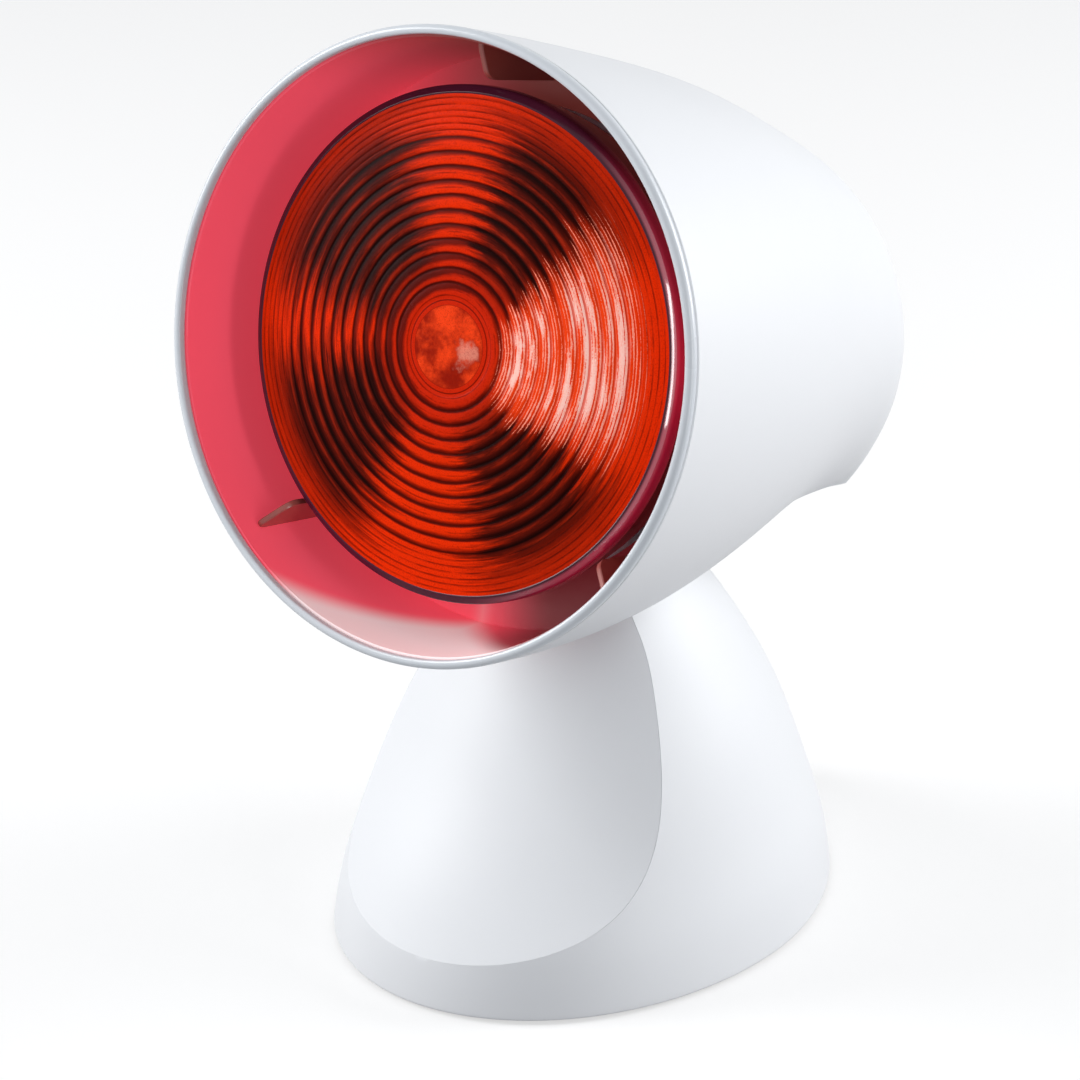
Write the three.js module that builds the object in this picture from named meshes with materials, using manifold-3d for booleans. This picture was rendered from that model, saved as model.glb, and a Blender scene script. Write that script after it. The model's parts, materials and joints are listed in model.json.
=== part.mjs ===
// Infrared heat therapy lamp: a bell shaped head that tilts on an upright stand.
// Millimetres, +Z up, the lamp shines towards -Y. The stand is modelled upright about its footprint.
// The head is modelled along its own axis, Y backwards from the rim, and then tilted about the hinge.
import * as THREE from 'three';
import { mergeVertices } from 'three/addons/utils/BufferGeometryUtils.js';
import Module from 'manifold-3d';

const wasm = await Module();
wasm.setup();

// Fits and general sizes
const gap = 0.3;
const overrun = 3;
const shellWall = 2.1;
const weldDistance = 0.0005;
const fineSides = 40;
const innerSides = 28;
const midSides = 18;
const smallSides = 8;

// Stand outline: half width and half depth of the widest oval, and where the hinge sits over it
const footHalfWidth = 60.3;
const footHalfDepth = 77.4;
const footOvalBack = 2;
const floorClearance = 1;
const hingeHeight = 106;
const hingeBack = 8;
const standHeightShares = [0, 0.03, 0.075, 0.13, 0.27, 0.41, 0.55, 0.68, 0.81, 0.915, 1, 1.25];
const standWidthShares = [0.954, 0.995, 1, 0.97, 0.884, 0.823, 0.733, 0.619, 0.483, 0.38, 0.362, 0.362];

// Leaning front panel: its centre line and the radius of its rounded section
const panelFrontShares = [-1.13, -1.035, -0.946, -0.853, -0.789, -0.64, -0.518, -0.45, -0.342, -0.265, -0.18, -0.1];
const panelHeightShares = [0, 0.075, 0.125, 0.177, 0.217, 0.33, 0.472, 0.566, 0.726, 0.849, 1, 1.25];
const panelRadiusShares = [1.09, 1.09, 1.1, 1.13, 1.16, 1.19, 1.174, 1.095, 0.884, 0.677, 0.5, 0.34];
const panelTop = 93;
const panelWall = 2;
const panelLip = 1;
const panelSplitAhead = 13;

// Neck dome round the hinge
const domeRadius = 13;
const domeFootBelow = 18;
const domeFrontAhead = 32;
const domeRearBehind = 30;
const cheekHalfWidth = 18.5;
const cheekBelowHinge = 11;

// Detent grooves on the dome
const clickCount = 5;
const clickStepDeg = 8;
const clicksBelowRest = 3;
const clickAngleDeg = 80;
const grooveRadius = 1;
const grooveHalfLength = 4;

// Base plate, ballast and feet
const plateThickness = 3.2;
const ballastShare = 0.57;
const ballastHeight = 10;
const footRadius = 6.5;
const footRecess = 0.9;
const footShareX = 0.365;
const footShareY = 0.672;

// Screws
const screwShank = 1.5;
const screwHead = 2.9;
const screwHeadHeight = 1.8;
const screwLength = 9;
const frameScrewLength = 6.5;
const bossRadius = 4.2;
const bossHeight = 22;
const bossShareX = 0.63;
const bossShareY = 0.543;
const gussetThickness = 2;
const gussetReach = 16;

// Neck core inside the stand
const coreFootShareX = 0.415;
const coreFootShareY = 0.284;
const coreFootHeight = 4;
const coreWebHalfWidth = 5;
const coreWebInset = 3;
const coreBossRadius = 8.2;
const coreBossInset = 2.6;
const coreBossRightEnd = 5;

// Hinge stack along X
const pinRadius = 4;
const pinBore = 2.6;
const pinFlangeRadius = 5.3;
const pinFlange = 1.6;
const washerRadius = 8;
const washerThickness = 1;
const earThickness = 4;
const earRadius = 9;
const nutThickness = 2.4;
const nutRadius = 5.3;
const nutSides = 6;
const wireSlotStart = 6.5;
const wireSlotEnd = 14.5;
const wireSlotHalfWidth = 2.3;

// Leads
const leadRadius = 1.8;
const leadSides = 8;

// Switch at the rear of the stand
const switchHeight = 36;
const switchSink = 0.5;
const bezelHalfWidth = 7.5;
const bezelHalfHeight = 10.5;
const bezelThickness = 1.6;
const switchBodyHalfWidth = 6.4;
const switchBodyHalfHeight = 9.4;
const switchBodyDepth = 15;
const switchPadBorder = 2.5;
const switchPadRise = 0.9;
const rockerHalfWidth = 4.7;
const rockerHalfLength = 7.5;
const rockerEndRise = 2.9;
const rockerMiddleRise = 1.7;
const rockerDepth = 4.2;
const rockerClearance = 0.5;
const rockerLeanDeg = 8;
const rockerCavityDepth = 7;
const trunnionRadius = 1.1;
const trunnionLength = 0.7;
const tabHalfWidth = 2.2;
const tabHalfThickness = 0.4;
const tabLength = 7;
const tabSpread = 4.6;

// Cable gland at the rear of the stand, and the terminal block inside
const glandHeight = 13;
const glandSleeve = 5;
const glandBore = 3.4;
const glandFlangeRadius = 7;
const glandFlange = 2.5;
const glandProud = 2.6;
const glandInside = 9;
const glandBossRadius = 8;
const terminalHalfWidth = 6;
const terminalHalfDepth = 8;
const terminalHeight = 11;
const terminalX = 10;
const terminalBehindCore = 2;
const terminalScrewHole = 2.1;
const terminalScrewSpread = 4;

// Head outline: radius at the rim, length, and how full and how low each section is towards the tail
const rimAroundBulb = 14.5;
const tailBehindBulb = 27.6;
const fullnessShares = [1, 0.982, 0.968, 1.003, 1.187, 1.554, 2.52];
const spineShares = [0, -0.006, 0.021, 0.021, -0.051, -0.29, -0.634];
const headLevels = 12;
const headTiltDeg = 14;
const hingeStationShare = 0.5143;
const hingeDropShare = 0.62;

// Rim ring and inner shade
const ringWidth = 2.1;
const ringDepth = 2.5;
const ringEdgeRound = 0.7;
const shadeFront = 0.7;
const shadeLength = 46;
const shadeWall = 1.4;
const ribAnglesDeg = [91, 229, 320];
const ribFront = 8;
const ribFromBulb = 2.6;
const ribCorner = 4;
const ribThickness = 1.5;

// Mouth in the underside of the head, seen from above the hinge
const mouthHalfWidth = 24.5;
const mouthAhead = 46;
const mouthBehind = 82;
const mouthCorner = 9;
const mouthAbove = 20;
const mouthBelow = 45;

// Reflector bulb
const bulbRadius = 61;
const bulbLength = 136;
const lensEdge = 2.3;
const lensSetback = 15.5;
const lensCrown = 4.5;
const lensGlass = 2.6;
const glassRimDepth = 5;
const reflectorGlass = 2;
const reflectorLengthShares = [0, 0.08, 0.21, 0.39, 0.58, 0.72, 0.82, 1];
const reflectorRadiusShares = [1, 0.985, 0.92, 0.76, 0.56, 0.41, 0.32, 0.295];
const capLength = 27;
const capRadius = 13.2;
const capSkirtRadius = 19.2;
const capSkirtDepth = 5;
const capThreadDepth = 0.9;
const capTurns = 4;
const capMetal = 0.8;
const insulatorHeight = 3;
const contactRadius = 4.2;
const contactHeight = 1.9;
const stemRadius = 5.4;
const stemLength = 22;
const filamentWire = 0.9;
const filamentSpan = 16;
const filamentReach = 34;

// Lampholder and its bracket
const holderRadius = 19.5;
const holderFrontGap = 2.2;
const holderWall = 3.4;
const holderLength = 32;
const sleeveWall = 0.8;
const sleeveLength = 19;
const tongueThickness = 0.6;
const tongueHalfWidth = 3;
const tongueLength = 9;
const bracketThickness = 2;
const bracketHalfWidth = 15;
const bracketUp = 14;
const holderScrewSpread = 9;
const holderLeadDrop = 10;
const bracketScrewSpread = 10;

// Head frame that carries the hinge ears
const plateFrontAhead = 17;
const plateRearBehind = 30;
const plateAboveHinge = 14;
const plateFromShell = 0.6;
const tabFromShell = 0.8;
const tabThickness = 3;
const tabReach = 8.4;
const tabHalfLength = 4.6;
const tabFrontAhead = 12.4;
const tabRearBehind = 15.6;
const tabHoleIn = 4.9;
const bridgeBehind = 22;
const bridgeDepth = 6;
const bridgeAbove = 17;
const bridgeHeight = 8.5;

// Click spring
const leafThickness = 0.6;
const leafHalfWidth = 3;

// Shared places worked out from the sizes above
const neckRatio = footHalfDepth / footHalfWidth;
const domeFootHeight = hingeHeight - domeFootBelow;
const ballastHalfWidth = ballastShare * footHalfWidth;
const ballastHalfDepth = ballastShare * footHalfDepth;
const footSpreadX = footShareX * footHalfWidth;
const footSpreadY = footShareY * footHalfDepth;
const bossSpreadX = bossShareX * footHalfWidth;
const bossSpreadY = bossShareY * footHalfDepth;
const coreFootHalfWidth = coreFootShareX * footHalfWidth;
const coreFootHalfDepth = coreFootShareY * footHalfDepth;
const terminalY = coreFootHalfDepth + terminalBehindCore + terminalHalfDepth;
const switchOut = standRear(switchHeight) - switchSink;
const switchLean = Math.atan2(
  standRear(switchHeight - bezelHalfHeight) - standRear(switchHeight + bezelHalfHeight),
  2 * bezelHalfHeight,
);
const glandFaceBack = standRear(glandHeight) + glandProud;
const headRadius = bulbRadius + rimAroundBulb;
const lensRadius = bulbRadius - lensEdge;
const ribInnerRadius = bulbRadius + ribFromBulb;
const plateTop = floorClearance + plateThickness;
const ballastTop = plateTop + gap + ballastHeight;
const coreFootTop = ballastTop + gap + coreFootHeight;
const washerStart = cheekHalfWidth + gap;
const earStart = washerStart + washerThickness + gap;
const earEnd = earStart + earThickness;
const shadeScale = (headRadius - ringWidth - gap) / headRadius;
const glassSeam = lensSetback + glassRimDepth;
const bulbEnd = lensSetback - lensCrown + bulbLength;
const capStart = bulbEnd - capLength;
const headLength = bulbEnd + tailBehindBulb;
const hingeStation = hingeStationShare * headLength;
const hingeDrop = hingeDropShare * headRadius;
const holderFront = capStart + holderFrontGap;
const holderRear = holderFront + holderLength;
const bridgeFront = hingeStation + bridgeBehind;
const bridgeRear = bridgeFront + bridgeDepth;
const bridgeTop = -hingeDrop + bridgeAbove;

const tiltRadians = THREE.MathUtils.degToRad(headTiltDeg);

const paints = {
  whiteGloss: new THREE.MeshStandardMaterial({ color: 0xf1f3f6, roughness: 0.28, metalness: 0 }),
  rimGrey: new THREE.MeshStandardMaterial({ color: 0xc3cad6, roughness: 0.3, metalness: 0 }),
  shadeRed: new THREE.MeshStandardMaterial({ color: 0xc9404c, roughness: 0.32, metalness: 0 }),
  lensRed: new THREE.MeshStandardMaterial({ color: 0xd8240c, roughness: 0.12, metalness: 0 }),
  mirrorGlass: new THREE.MeshStandardMaterial({ color: 0xb9bcc2, roughness: 0.18, metalness: 0.9 }),
  brass: new THREE.MeshStandardMaterial({ color: 0xc8a75a, roughness: 0.35, metalness: 1 }),
  ceramic: new THREE.MeshStandardMaterial({ color: 0xf4efe4, roughness: 0.4, metalness: 0 }),
  steel: new THREE.MeshStandardMaterial({ color: 0xb4b8bd, roughness: 0.35, metalness: 1 }),
  castIron: new THREE.MeshStandardMaterial({ color: 0x4c4d50, roughness: 0.75, metalness: 0.6 }),
  innerPlastic: new THREE.MeshStandardMaterial({ color: 0x6d7278, roughness: 0.55, metalness: 0 }),
  blackPlastic: new THREE.MeshStandardMaterial({ color: 0x1c1d1f, roughness: 0.4, metalness: 0 }),
  rubber: new THREE.MeshStandardMaterial({ color: 0x2b2b2c, roughness: 0.85, metalness: 0 }),
  leadSleeve: new THREE.MeshStandardMaterial({ color: 0xe6e1d3, roughness: 0.6, metalness: 0 }),
};

// Solids from three.js geometry

function solid(geometry) {
  const bare = geometry.clone();
  bare.deleteAttribute('normal');
  bare.deleteAttribute('uv');
  const merged = mergeVertices(bare, weldDistance);
  const corners = merged.index.array;
  const places = merged.attributes.position;
  const kept = [];
  let volume = 0;
  const a = new THREE.Vector3();
  const b = new THREE.Vector3();
  const c = new THREE.Vector3();
  for (let i = 0; i < corners.length; i += 3) {
    const [p, q, r] = [corners[i], corners[i + 1], corners[i + 2]];
    if (p === q || q === r || r === p) continue;
    kept.push(p, q, r);
    a.fromBufferAttribute(places, p);
    b.fromBufferAttribute(places, q);
    c.fromBufferAttribute(places, r);
    volume += a.dot(b.cross(c));
  }
  if (volume < 0) kept.reverse();
  const mesh = new wasm.Mesh({
    numProp: 3,
    vertProperties: new Float32Array(places.array),
    triVerts: new Uint32Array(kept),
  });
  return new wasm.Manifold(mesh);
}

function joined(...parts) {
  return parts.reduce((whole, part) => whole.add(part));
}

function cutBy(body, ...cutters) {
  return cutters.reduce((whole, cutter) => whole.subtract(cutter), body);
}

function piece(name, body, paint) {
  const { vertProperties, triVerts } = body.getMesh();
  const geometry = new THREE.BufferGeometry();
  geometry.setAttribute('position', new THREE.BufferAttribute(vertProperties, 3));
  geometry.setIndex(new THREE.BufferAttribute(triVerts, 1));
  geometry.computeVertexNormals();
  const mesh = new THREE.Mesh(geometry, paint);
  mesh.name = name;
  return mesh;
}

function block([x0, x1], [y0, y1], [z0, z1]) {
  const geometry = new THREE.BoxGeometry(x1 - x0, y1 - y0, z1 - z0);
  geometry.translate((x0 + x1) / 2, (y0 + y1) / 2, (z0 + z1) / 2);
  return solid(geometry);
}

// A cylinder along one axis, from start to end, centred on the two other coordinates in order
function rod(axis, radius, start, end, [first, second], sides = smallSides) {
  const geometry = new THREE.CylinderGeometry(radius, radius, end - start, sides);
  const middle = (start + end) / 2;
  if (axis === 'x') geometry.rotateZ(-Math.PI / 2).translate(middle, first, second);
  if (axis === 'y') geometry.translate(first, middle, second);
  if (axis === 'z') geometry.rotateX(Math.PI / 2).translate(first, second, middle);
  return solid(geometry);
}

// A closed profile of [radius, station] turned about the Y axis
function turnedY(profile, sides = midSides) {
  const points = profile.map(([radius, station]) => new THREE.Vector2(radius, station));
  return new THREE.LatheGeometry(points, sides);
}

// An outline in the Y, Z plane, carried along X from start to end
function carriedX(shape, start, end, curveSegments = smallSides) {
  const geometry = new THREE.ExtrudeGeometry(shape, { depth: end - start, bevelEnabled: false, curveSegments });
  const axes = new THREE.Matrix4().makeBasis(
    new THREE.Vector3(0, 1, 0),
    new THREE.Vector3(0, 0, 1),
    new THREE.Vector3(1, 0, 0),
  );
  return solid(geometry.applyMatrix4(axes).translate(start, 0, 0));
}

function carriedZ(shape, start, end, curveSegments = smallSides) {
  const geometry = new THREE.ExtrudeGeometry(shape, { depth: end - start, bevelEnabled: false, curveSegments });
  return geometry.translate(0, 0, start);
}

function polygon(points) {
  return new THREE.Shape(points.map(([u, v]) => new THREE.Vector2(u, v)));
}

// A strip of even thickness along a bent centre line in the Y, Z plane
function stripX(line, thickness, halfWidth) {
  const half = thickness / 2;
  const points = line.map(([u, v]) => new THREE.Vector2(u, v));
  const sides = points.map((point, i) => {
    const before = points[Math.max(i - 1, 0)];
    const after = points[Math.min(i + 1, points.length - 1)];
    const along = after.clone().sub(before).normalize();
    return new THREE.Vector2(-along.y, along.x).multiplyScalar(half);
  });
  const left = points.map((point, i) => point.clone().add(sides[i]));
  const right = points.map((point, i) => point.clone().sub(sides[i])).reverse();
  return carriedX(new THREE.Shape([...left, ...right]), -halfWidth, halfWidth);
}

// A round lead swept along a smooth curve through the points
function lead(points, radius, steps) {
  const curve = new THREE.CatmullRomCurve3(points.map((place) => new THREE.Vector3(...place)), false, 'centripetal');
  const section = new THREE.Shape();
  for (let i = 0; i < leadSides; i += 1) {
    const turn = (i / leadSides) * Math.PI * 2;
    const place = [radius * Math.cos(turn), radius * Math.sin(turn)];
    if (i === 0) section.moveTo(...place);
    else section.lineTo(...place);
  }
  section.closePath();
  return solid(new THREE.ExtrudeGeometry(section, { extrudePath: curve, steps, bevelEnabled: false }));
}

// A pan head screw whose head rests at the place given and whose shank points along the direction
function screw(place, direction, length = screwLength) {
  const geometry = turnedY([
    [0, length],
    [screwShank, length],
    [screwShank, 0],
    [screwHead, 0],
    [screwHead, -screwHeadHeight],
    [0, -screwHeadHeight],
  ], smallSides);
  const turn = new THREE.Quaternion().setFromUnitVectors(new THREE.Vector3(0, 1, 0), new THREE.Vector3(...direction));
  geometry.applyQuaternion(turn).translate(...place);
  return solid(geometry);
}

// Stand forms

// Half width of the stand's oval at a height, between the levels of its outline
function ovalHalfWidth(height) {
  const share = height / hingeHeight;
  const next = standHeightShares.findIndex((level) => level >= share);
  const [low, high] = [standHeightShares[next - 1], standHeightShares[next]];
  const along = (share - low) / (high - low);
  return footHalfWidth * THREE.MathUtils.lerp(standWidthShares[next - 1], standWidthShares[next], along);
}

function standRear(height) {
  return footOvalBack + neckRatio * ovalHalfWidth(height);
}

// The oval body of the stand, drawn in by an inset
function ovalBody(inset, bottom) {
  const sides = inset > shellWall / 2 ? innerSides : fineSides;
  const profile = standHeightShares.map((share, i) => {
    const height = share === 0 ? bottom : share * hingeHeight;
    return [standWidthShares[i] * footHalfWidth - inset, height];
  });
  const top = profile[profile.length - 1][1];
  const geometry = turnedY([[0, bottom], ...profile, [0, top]], sides);
  const places = geometry.attributes.position;
  for (let i = 0; i < places.count; i += 1) {
    const wide = places.getX(i);
    const deep = places.getZ(i);
    const width = Math.hypot(wide, deep);
    const depth = width > 0 ? ((width + inset) * neckRatio - inset) / width : 1;
    places.setXYZ(i, wide, footOvalBack - deep * depth, places.getY(i));
  }
  return solid(geometry);
}

// The round nosed form that the leaning front is cut to, drawn in by an inset
function noseBody(inset) {
  const levels = panelHeightShares.map((share, i) => {
    const radius = panelRadiusShares[i] * footHalfWidth;
    return { height: share * hingeHeight, radius: radius - inset, centre: panelFrontShares[i] * footHalfDepth + radius };
  });
  const profile = levels.map(({ radius, height }) => [radius, height]);
  const last = levels.length - 1;
  const geometry = turnedY([[0, levels[0].height], ...profile, [0, levels[last].height]], fineSides);
  const centres = [levels[0], ...levels, levels[last]].map(({ centre }) => centre);
  const places = geometry.attributes.position;
  for (let i = 0; i < places.count; i += 1) {
    const centre = centres[i % centres.length];
    places.setXYZ(i, places.getX(i), centre - places.getZ(i), places.getY(i));
  }
  return solid(geometry);
}

// Everything below the dome's foot, and the dome that closes over the hinge, drawn in by an inset
function domeBody(inset) {
  const radius = domeRadius - inset;
  const front = hingeBack - domeFrontAhead + inset;
  const rear = hingeBack + domeRearBehind - inset;
  const wide = 2 * footHalfDepth;
  const tangent = (y, side) => {
    const away = Math.hypot(y - hingeBack, domeFootHeight - hingeHeight);
    const toward = Math.atan2(domeFootHeight - hingeHeight, y - hingeBack);
    return toward + side * Math.acos(radius / away);
  };
  const frontAngle = tangent(front, -1);
  const rearAngle = tangent(rear, 1);
  const shape = new THREE.Shape();
  shape.moveTo(-wide, -overrun);
  shape.lineTo(wide, -overrun);
  shape.lineTo(wide, domeFootHeight);
  shape.lineTo(rear, domeFootHeight);
  shape.absarc(hingeBack, hingeHeight, radius, rearAngle, frontAngle + Math.PI * 2, false);
  shape.lineTo(front, domeFootHeight);
  shape.lineTo(-wide, domeFootHeight);
  shape.closePath();
  return carriedX(shape, -wide, wide, midSides);
}

const farAway = 2 * footHalfDepth;
const behindFront = () => block([-farAway, farAway], [hingeBack - panelSplitAhead, farAway], [-overrun, farAway]);
const aheadOfSplit = (top) => block([-farAway, farAway], [-farAway, hingeBack - panelSplitAhead], [-overrun, top]);

// The whole outside form of the stand, drawn in by an inset
function standForm(inset, bottom) {
  const nose = joined(noseBody(inset), behindFront());
  return ovalBody(inset, bottom).intersect(domeBody(inset)).intersect(nose);
}

// Blocks on both sides that reach inwards to the half width, above a height
function sideBlocks(halfWidth, bottom) {
  return [[-farAway, -halfWidth], [halfWidth, farAway]].map((range) => block(range, [-farAway, farAway], [bottom, farAway]));
}

function fourCorners(spreadX, spreadY) {
  return [[-1, -1], [1, -1], [-1, 1], [1, 1]].map(([x, y]) => [x * spreadX, y * spreadY]);
}

const cornerNames = ['front_left', 'front_right', 'rear_left', 'rear_right'];

// The plane of the switch: its own Y axis points out of the stand's leaning rear
function onSwitchPlane(body) {
  const turned = new THREE.Group();
  turned.position.set(0, switchOut, switchHeight);
  turned.rotation.x = switchLean;
  turned.add(body);
  return turned;
}

function switchGeometry(geometry) {
  geometry.rotateX(switchLean).translate(0, switchOut, switchHeight);
  return solid(geometry);
}

function plainBox(halfWidth, halfHeight, inner, outer) {
  const geometry = new THREE.BoxGeometry(2 * halfWidth, outer - inner, 2 * halfHeight);
  return geometry.translate(0, (inner + outer) / 2, 0);
}

function detentGrooves() {
  const rest = clickAngleDeg - headTiltDeg;
  const grooves = [];
  for (let i = 0; i < clickCount; i += 1) {
    const turn = THREE.MathUtils.degToRad(rest + (i - clicksBelowRest) * clickStepDeg);
    const place = [hingeBack + domeRadius * Math.cos(turn), hingeHeight + domeRadius * Math.sin(turn)];
    grooves.push(rod('x', grooveRadius, -grooveHalfLength, grooveHalfLength, place, smallSides / 2));
  }
  return grooves;
}

function standShell() {
  const outside = standForm(0, floorClearance);
  const cheekWalls = sideBlocks(cheekHalfWidth - shellWall, hingeHeight - cheekBelowHinge - shellWall);
  const inside = cutBy(standForm(shellWall, -overrun), ...cheekWalls);
  const bosses = fourCorners(bossSpreadX, bossSpreadY).map(([x, y]) => {
    const post = rod('z', bossRadius, plateTop + gap, bossHeight, [x, y]);
    const reach = new THREE.BoxGeometry(gussetReach, gussetThickness, bossHeight - plateTop - gap);
    reach.translate(gussetReach / 2, 0, (bossHeight + plateTop + gap) / 2);
    reach.rotateZ(Math.atan2(y, x)).translate(x, y, 0);
    return joined(post, solid(reach)).intersect(standForm(shellWall / 2, floorClearance));
  });
  const pad = switchGeometry(plainBox(
    bezelHalfWidth + switchPadBorder,
    bezelHalfHeight + switchPadBorder,
    -shellWall,
    switchPadRise,
  ));
  const glandBoss = rod('y', glandBossRadius, glandFaceBack - glandInside, glandFaceBack - gap, [0, glandHeight], midSides);
  const walls = joined(cutBy(outside, inside), ...bosses, pad, glandBoss);
  const window = cutBy(aheadOfSplit(panelTop + gap), noseBody(panelLip + gap));
  const frontWall = cutBy(aheadOfSplit(panelTop + gap).intersect(ovalBody(shellWall, -overrun)), noseBody(shellWall + gap));
  const cheeks = sideBlocks(cheekHalfWidth, hingeHeight - cheekBelowHinge);
  const pinHole = rod('x', pinRadius + gap, -farAway, farAway, [hingeBack, hingeHeight], midSides);
  const switchHole = switchGeometry(plainBox(
    switchBodyHalfWidth + gap,
    switchBodyHalfHeight + gap,
    -overrun - shellWall,
    overrun,
  ));
  const glandHole = rod('y', glandSleeve + gap, glandFaceBack - 2 * glandInside, farAway, [0, glandHeight], midSides);
  const pilots = fourCorners(bossSpreadX, bossSpreadY).map(([x, y]) => (
    rod('z', screwShank + gap, 0, floorClearance + screwLength + overrun, [x, y])
  ));
  return cutBy(
    walls,
    window,
    frontWall,
    ...cheeks,
    pinHole,
    switchHole,
    glandHole,
    ...pilots,
    ...detentGrooves(),
  );
}

function frontPanel() {
  const outside = standForm(0, floorClearance).intersect(aheadOfSplit(panelTop));
  const skin = cutBy(outside, noseBody(panelLip));
  const body = cutBy(outside, noseBody(panelWall)).intersect(ovalBody(shellWall + gap, -overrun));
  return joined(skin, body);
}

function basePlate() {
  const slab = block([-farAway, farAway], [-farAway, farAway], [floorClearance, plateTop]);
  const disc = ovalBody(shellWall + gap, -overrun).intersect(slab);
  const holes = fourCorners(bossSpreadX, bossSpreadY).map(([x, y]) => (
    rod('z', screwShank + gap, 0, plateTop + overrun, [x, y])
  ));
  const sinks = fourCorners(bossSpreadX, bossSpreadY).map(([x, y]) => (
    rod('z', screwHead + gap, 0, floorClearance + screwHeadHeight + gap, [x, y])
  ));
  const recesses = fourCorners(footSpreadX, footSpreadY).map(([x, y]) => (
    rod('z', footRadius + gap, 0, floorClearance + footRecess + gap, [x, y], midSides)
  ));
  return cutBy(disc, ...holes, ...sinks, ...recesses);
}

function ovalPlate(halfWidth, halfDepth, bottom, top) {
  const shape = new THREE.Shape();
  shape.absellipse(0, 0, halfWidth, halfDepth, 0, Math.PI * 2, false);
  return solid(carriedZ(shape, bottom, top, midSides / 2));
}

const coreScrewPlaces = fourCorners(coreFootHalfWidth - bossRadius, coreFootHalfDepth - bossRadius);

function ballast() {
  const plate = ovalPlate(ballastHalfWidth, ballastHalfDepth, plateTop + gap, ballastTop);
  const holes = coreScrewPlaces.map(([x, y]) => (
    rod('z', screwShank + gap, ballastTop - screwLength + gap, ballastTop + overrun, [x, y])
  ));
  return cutBy(plate, ...holes);
}

function neckCore() {
  const foot = block(
    [-coreFootHalfWidth, coreFootHalfWidth],
    [-coreFootHalfDepth, coreFootHalfDepth],
    [ballastTop + gap, coreFootTop],
  );
  const web = carriedX(polygon([
    [-coreFootHalfDepth + coreWebInset, coreFootTop - gap],
    [coreFootHalfDepth - coreWebInset, coreFootTop - gap],
    [hingeBack + coreBossRadius, hingeHeight],
    [hingeBack - coreBossRadius, hingeHeight],
  ]), -coreWebHalfWidth, coreWebHalfWidth);
  const bossLeft = -cheekHalfWidth + coreBossInset;
  const boss = rod('x', coreBossRadius, bossLeft, coreBossRightEnd, [hingeBack, hingeHeight], midSides);
  const bore = rod('x', pinRadius + gap, -farAway, farAway, [hingeBack, hingeHeight], midSides);
  const holes = coreScrewPlaces.map(([x, y]) => rod('z', screwShank + gap, 0, farAway, [x, y]));
  return cutBy(joined(foot, web, boss), bore, ...holes);
}

// Hinge pieces, placed about the hinge line with Y and Z measured from it

function hingePin() {
  const end = earEnd + gap + nutThickness;
  const tube = rod('x', pinRadius, -earEnd - gap, end, [0, 0], midSides);
  const flange = rod('x', pinFlangeRadius, -earEnd - gap - pinFlange, -earEnd - gap, [0, 0], midSides);
  const bore = rod('x', pinBore, -farAway, farAway, [0, 0], midSides);
  const slot = block([wireSlotStart, wireSlotEnd], [-wireSlotHalfWidth, wireSlotHalfWidth], [-farAway, 0]);
  return cutBy(joined(tube, flange), bore, slot);
}

function hingeNut() {
  const body = rod('x', nutRadius, earEnd + gap, earEnd + gap + nutThickness, [0, 0], nutSides);
  return cutBy(body, rod('x', pinRadius + gap, 0, farAway, [0, 0], midSides));
}

function frictionWasher(side) {
  const [start, end] = [side * washerStart, side * (washerStart + washerThickness)].sort((a, b) => a - b);
  const disc = rod('x', washerRadius, start, end, [0, 0], midSides);
  return cutBy(disc, rod('x', pinRadius + gap, -farAway, farAway, [0, 0], midSides));
}

// Switch pieces in the switch's own plane: Y outwards, Z up the leaning wall

function switchHousing() {
  const bezel = solid(plainBox(bezelHalfWidth, bezelHalfHeight, switchPadRise + gap, switchPadRise + gap + bezelThickness));
  const body = solid(plainBox(switchBodyHalfWidth, switchBodyHalfHeight, -switchBodyDepth, switchPadRise + 2 * gap));
  const cavity = solid(plainBox(
    rockerHalfWidth + gap,
    rockerHalfLength + rockerEndRise / 2,
    -rockerCavityDepth,
    farAway,
  ));
  const pivotHoles = rod('x', trunnionRadius + gap, -switchBodyHalfWidth + gap, switchBodyHalfWidth - gap, [0, 0]);
  const seats = [-tabSpread, tabSpread].map((z) => block(
    [-tabHalfWidth - gap, tabHalfWidth + gap],
    [-switchBodyDepth - overrun, -switchBodyDepth + tabLength / 3],
    [z - tabHalfThickness - gap, z + tabHalfThickness + gap],
  ));
  return cutBy(joined(bezel, body), cavity, pivotHoles, ...seats);
}

function rocker() {
  const profile = polygon([
    [-rockerDepth / 2, -rockerHalfLength],
    [-rockerDepth, 0],
    [-rockerDepth / 2, rockerHalfLength],
    [rockerEndRise, rockerHalfLength],
    [rockerMiddleRise, 0],
    [rockerEndRise, -rockerHalfLength],
  ]);
  const body = carriedX(profile, -rockerHalfWidth, rockerHalfWidth);
  const reach = rockerHalfWidth + trunnionLength;
  const trunnions = rod('x', trunnionRadius, -reach, reach, [0, 0]);
  return joined(body, trunnions);
}

function switchTab(z) {
  return block(
    [-tabHalfWidth, tabHalfWidth],
    [-switchBodyDepth + tabLength / 3 - gap - tabLength, -switchBodyDepth + tabLength / 3 - gap],
    [z - tabHalfThickness, z + tabHalfThickness],
  );
}

function cableGland() {
  const sleeve = rod('y', glandSleeve, glandFaceBack - glandInside - gap, glandFaceBack + gap, [0, glandHeight], midSides);
  const flange = rod('y', glandFlangeRadius, glandFaceBack, glandFaceBack + glandFlange, [0, glandHeight], midSides);
  return cutBy(joined(sleeve, flange), rod('y', glandBore, 0, farAway, [0, glandHeight], midSides));
}

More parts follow.
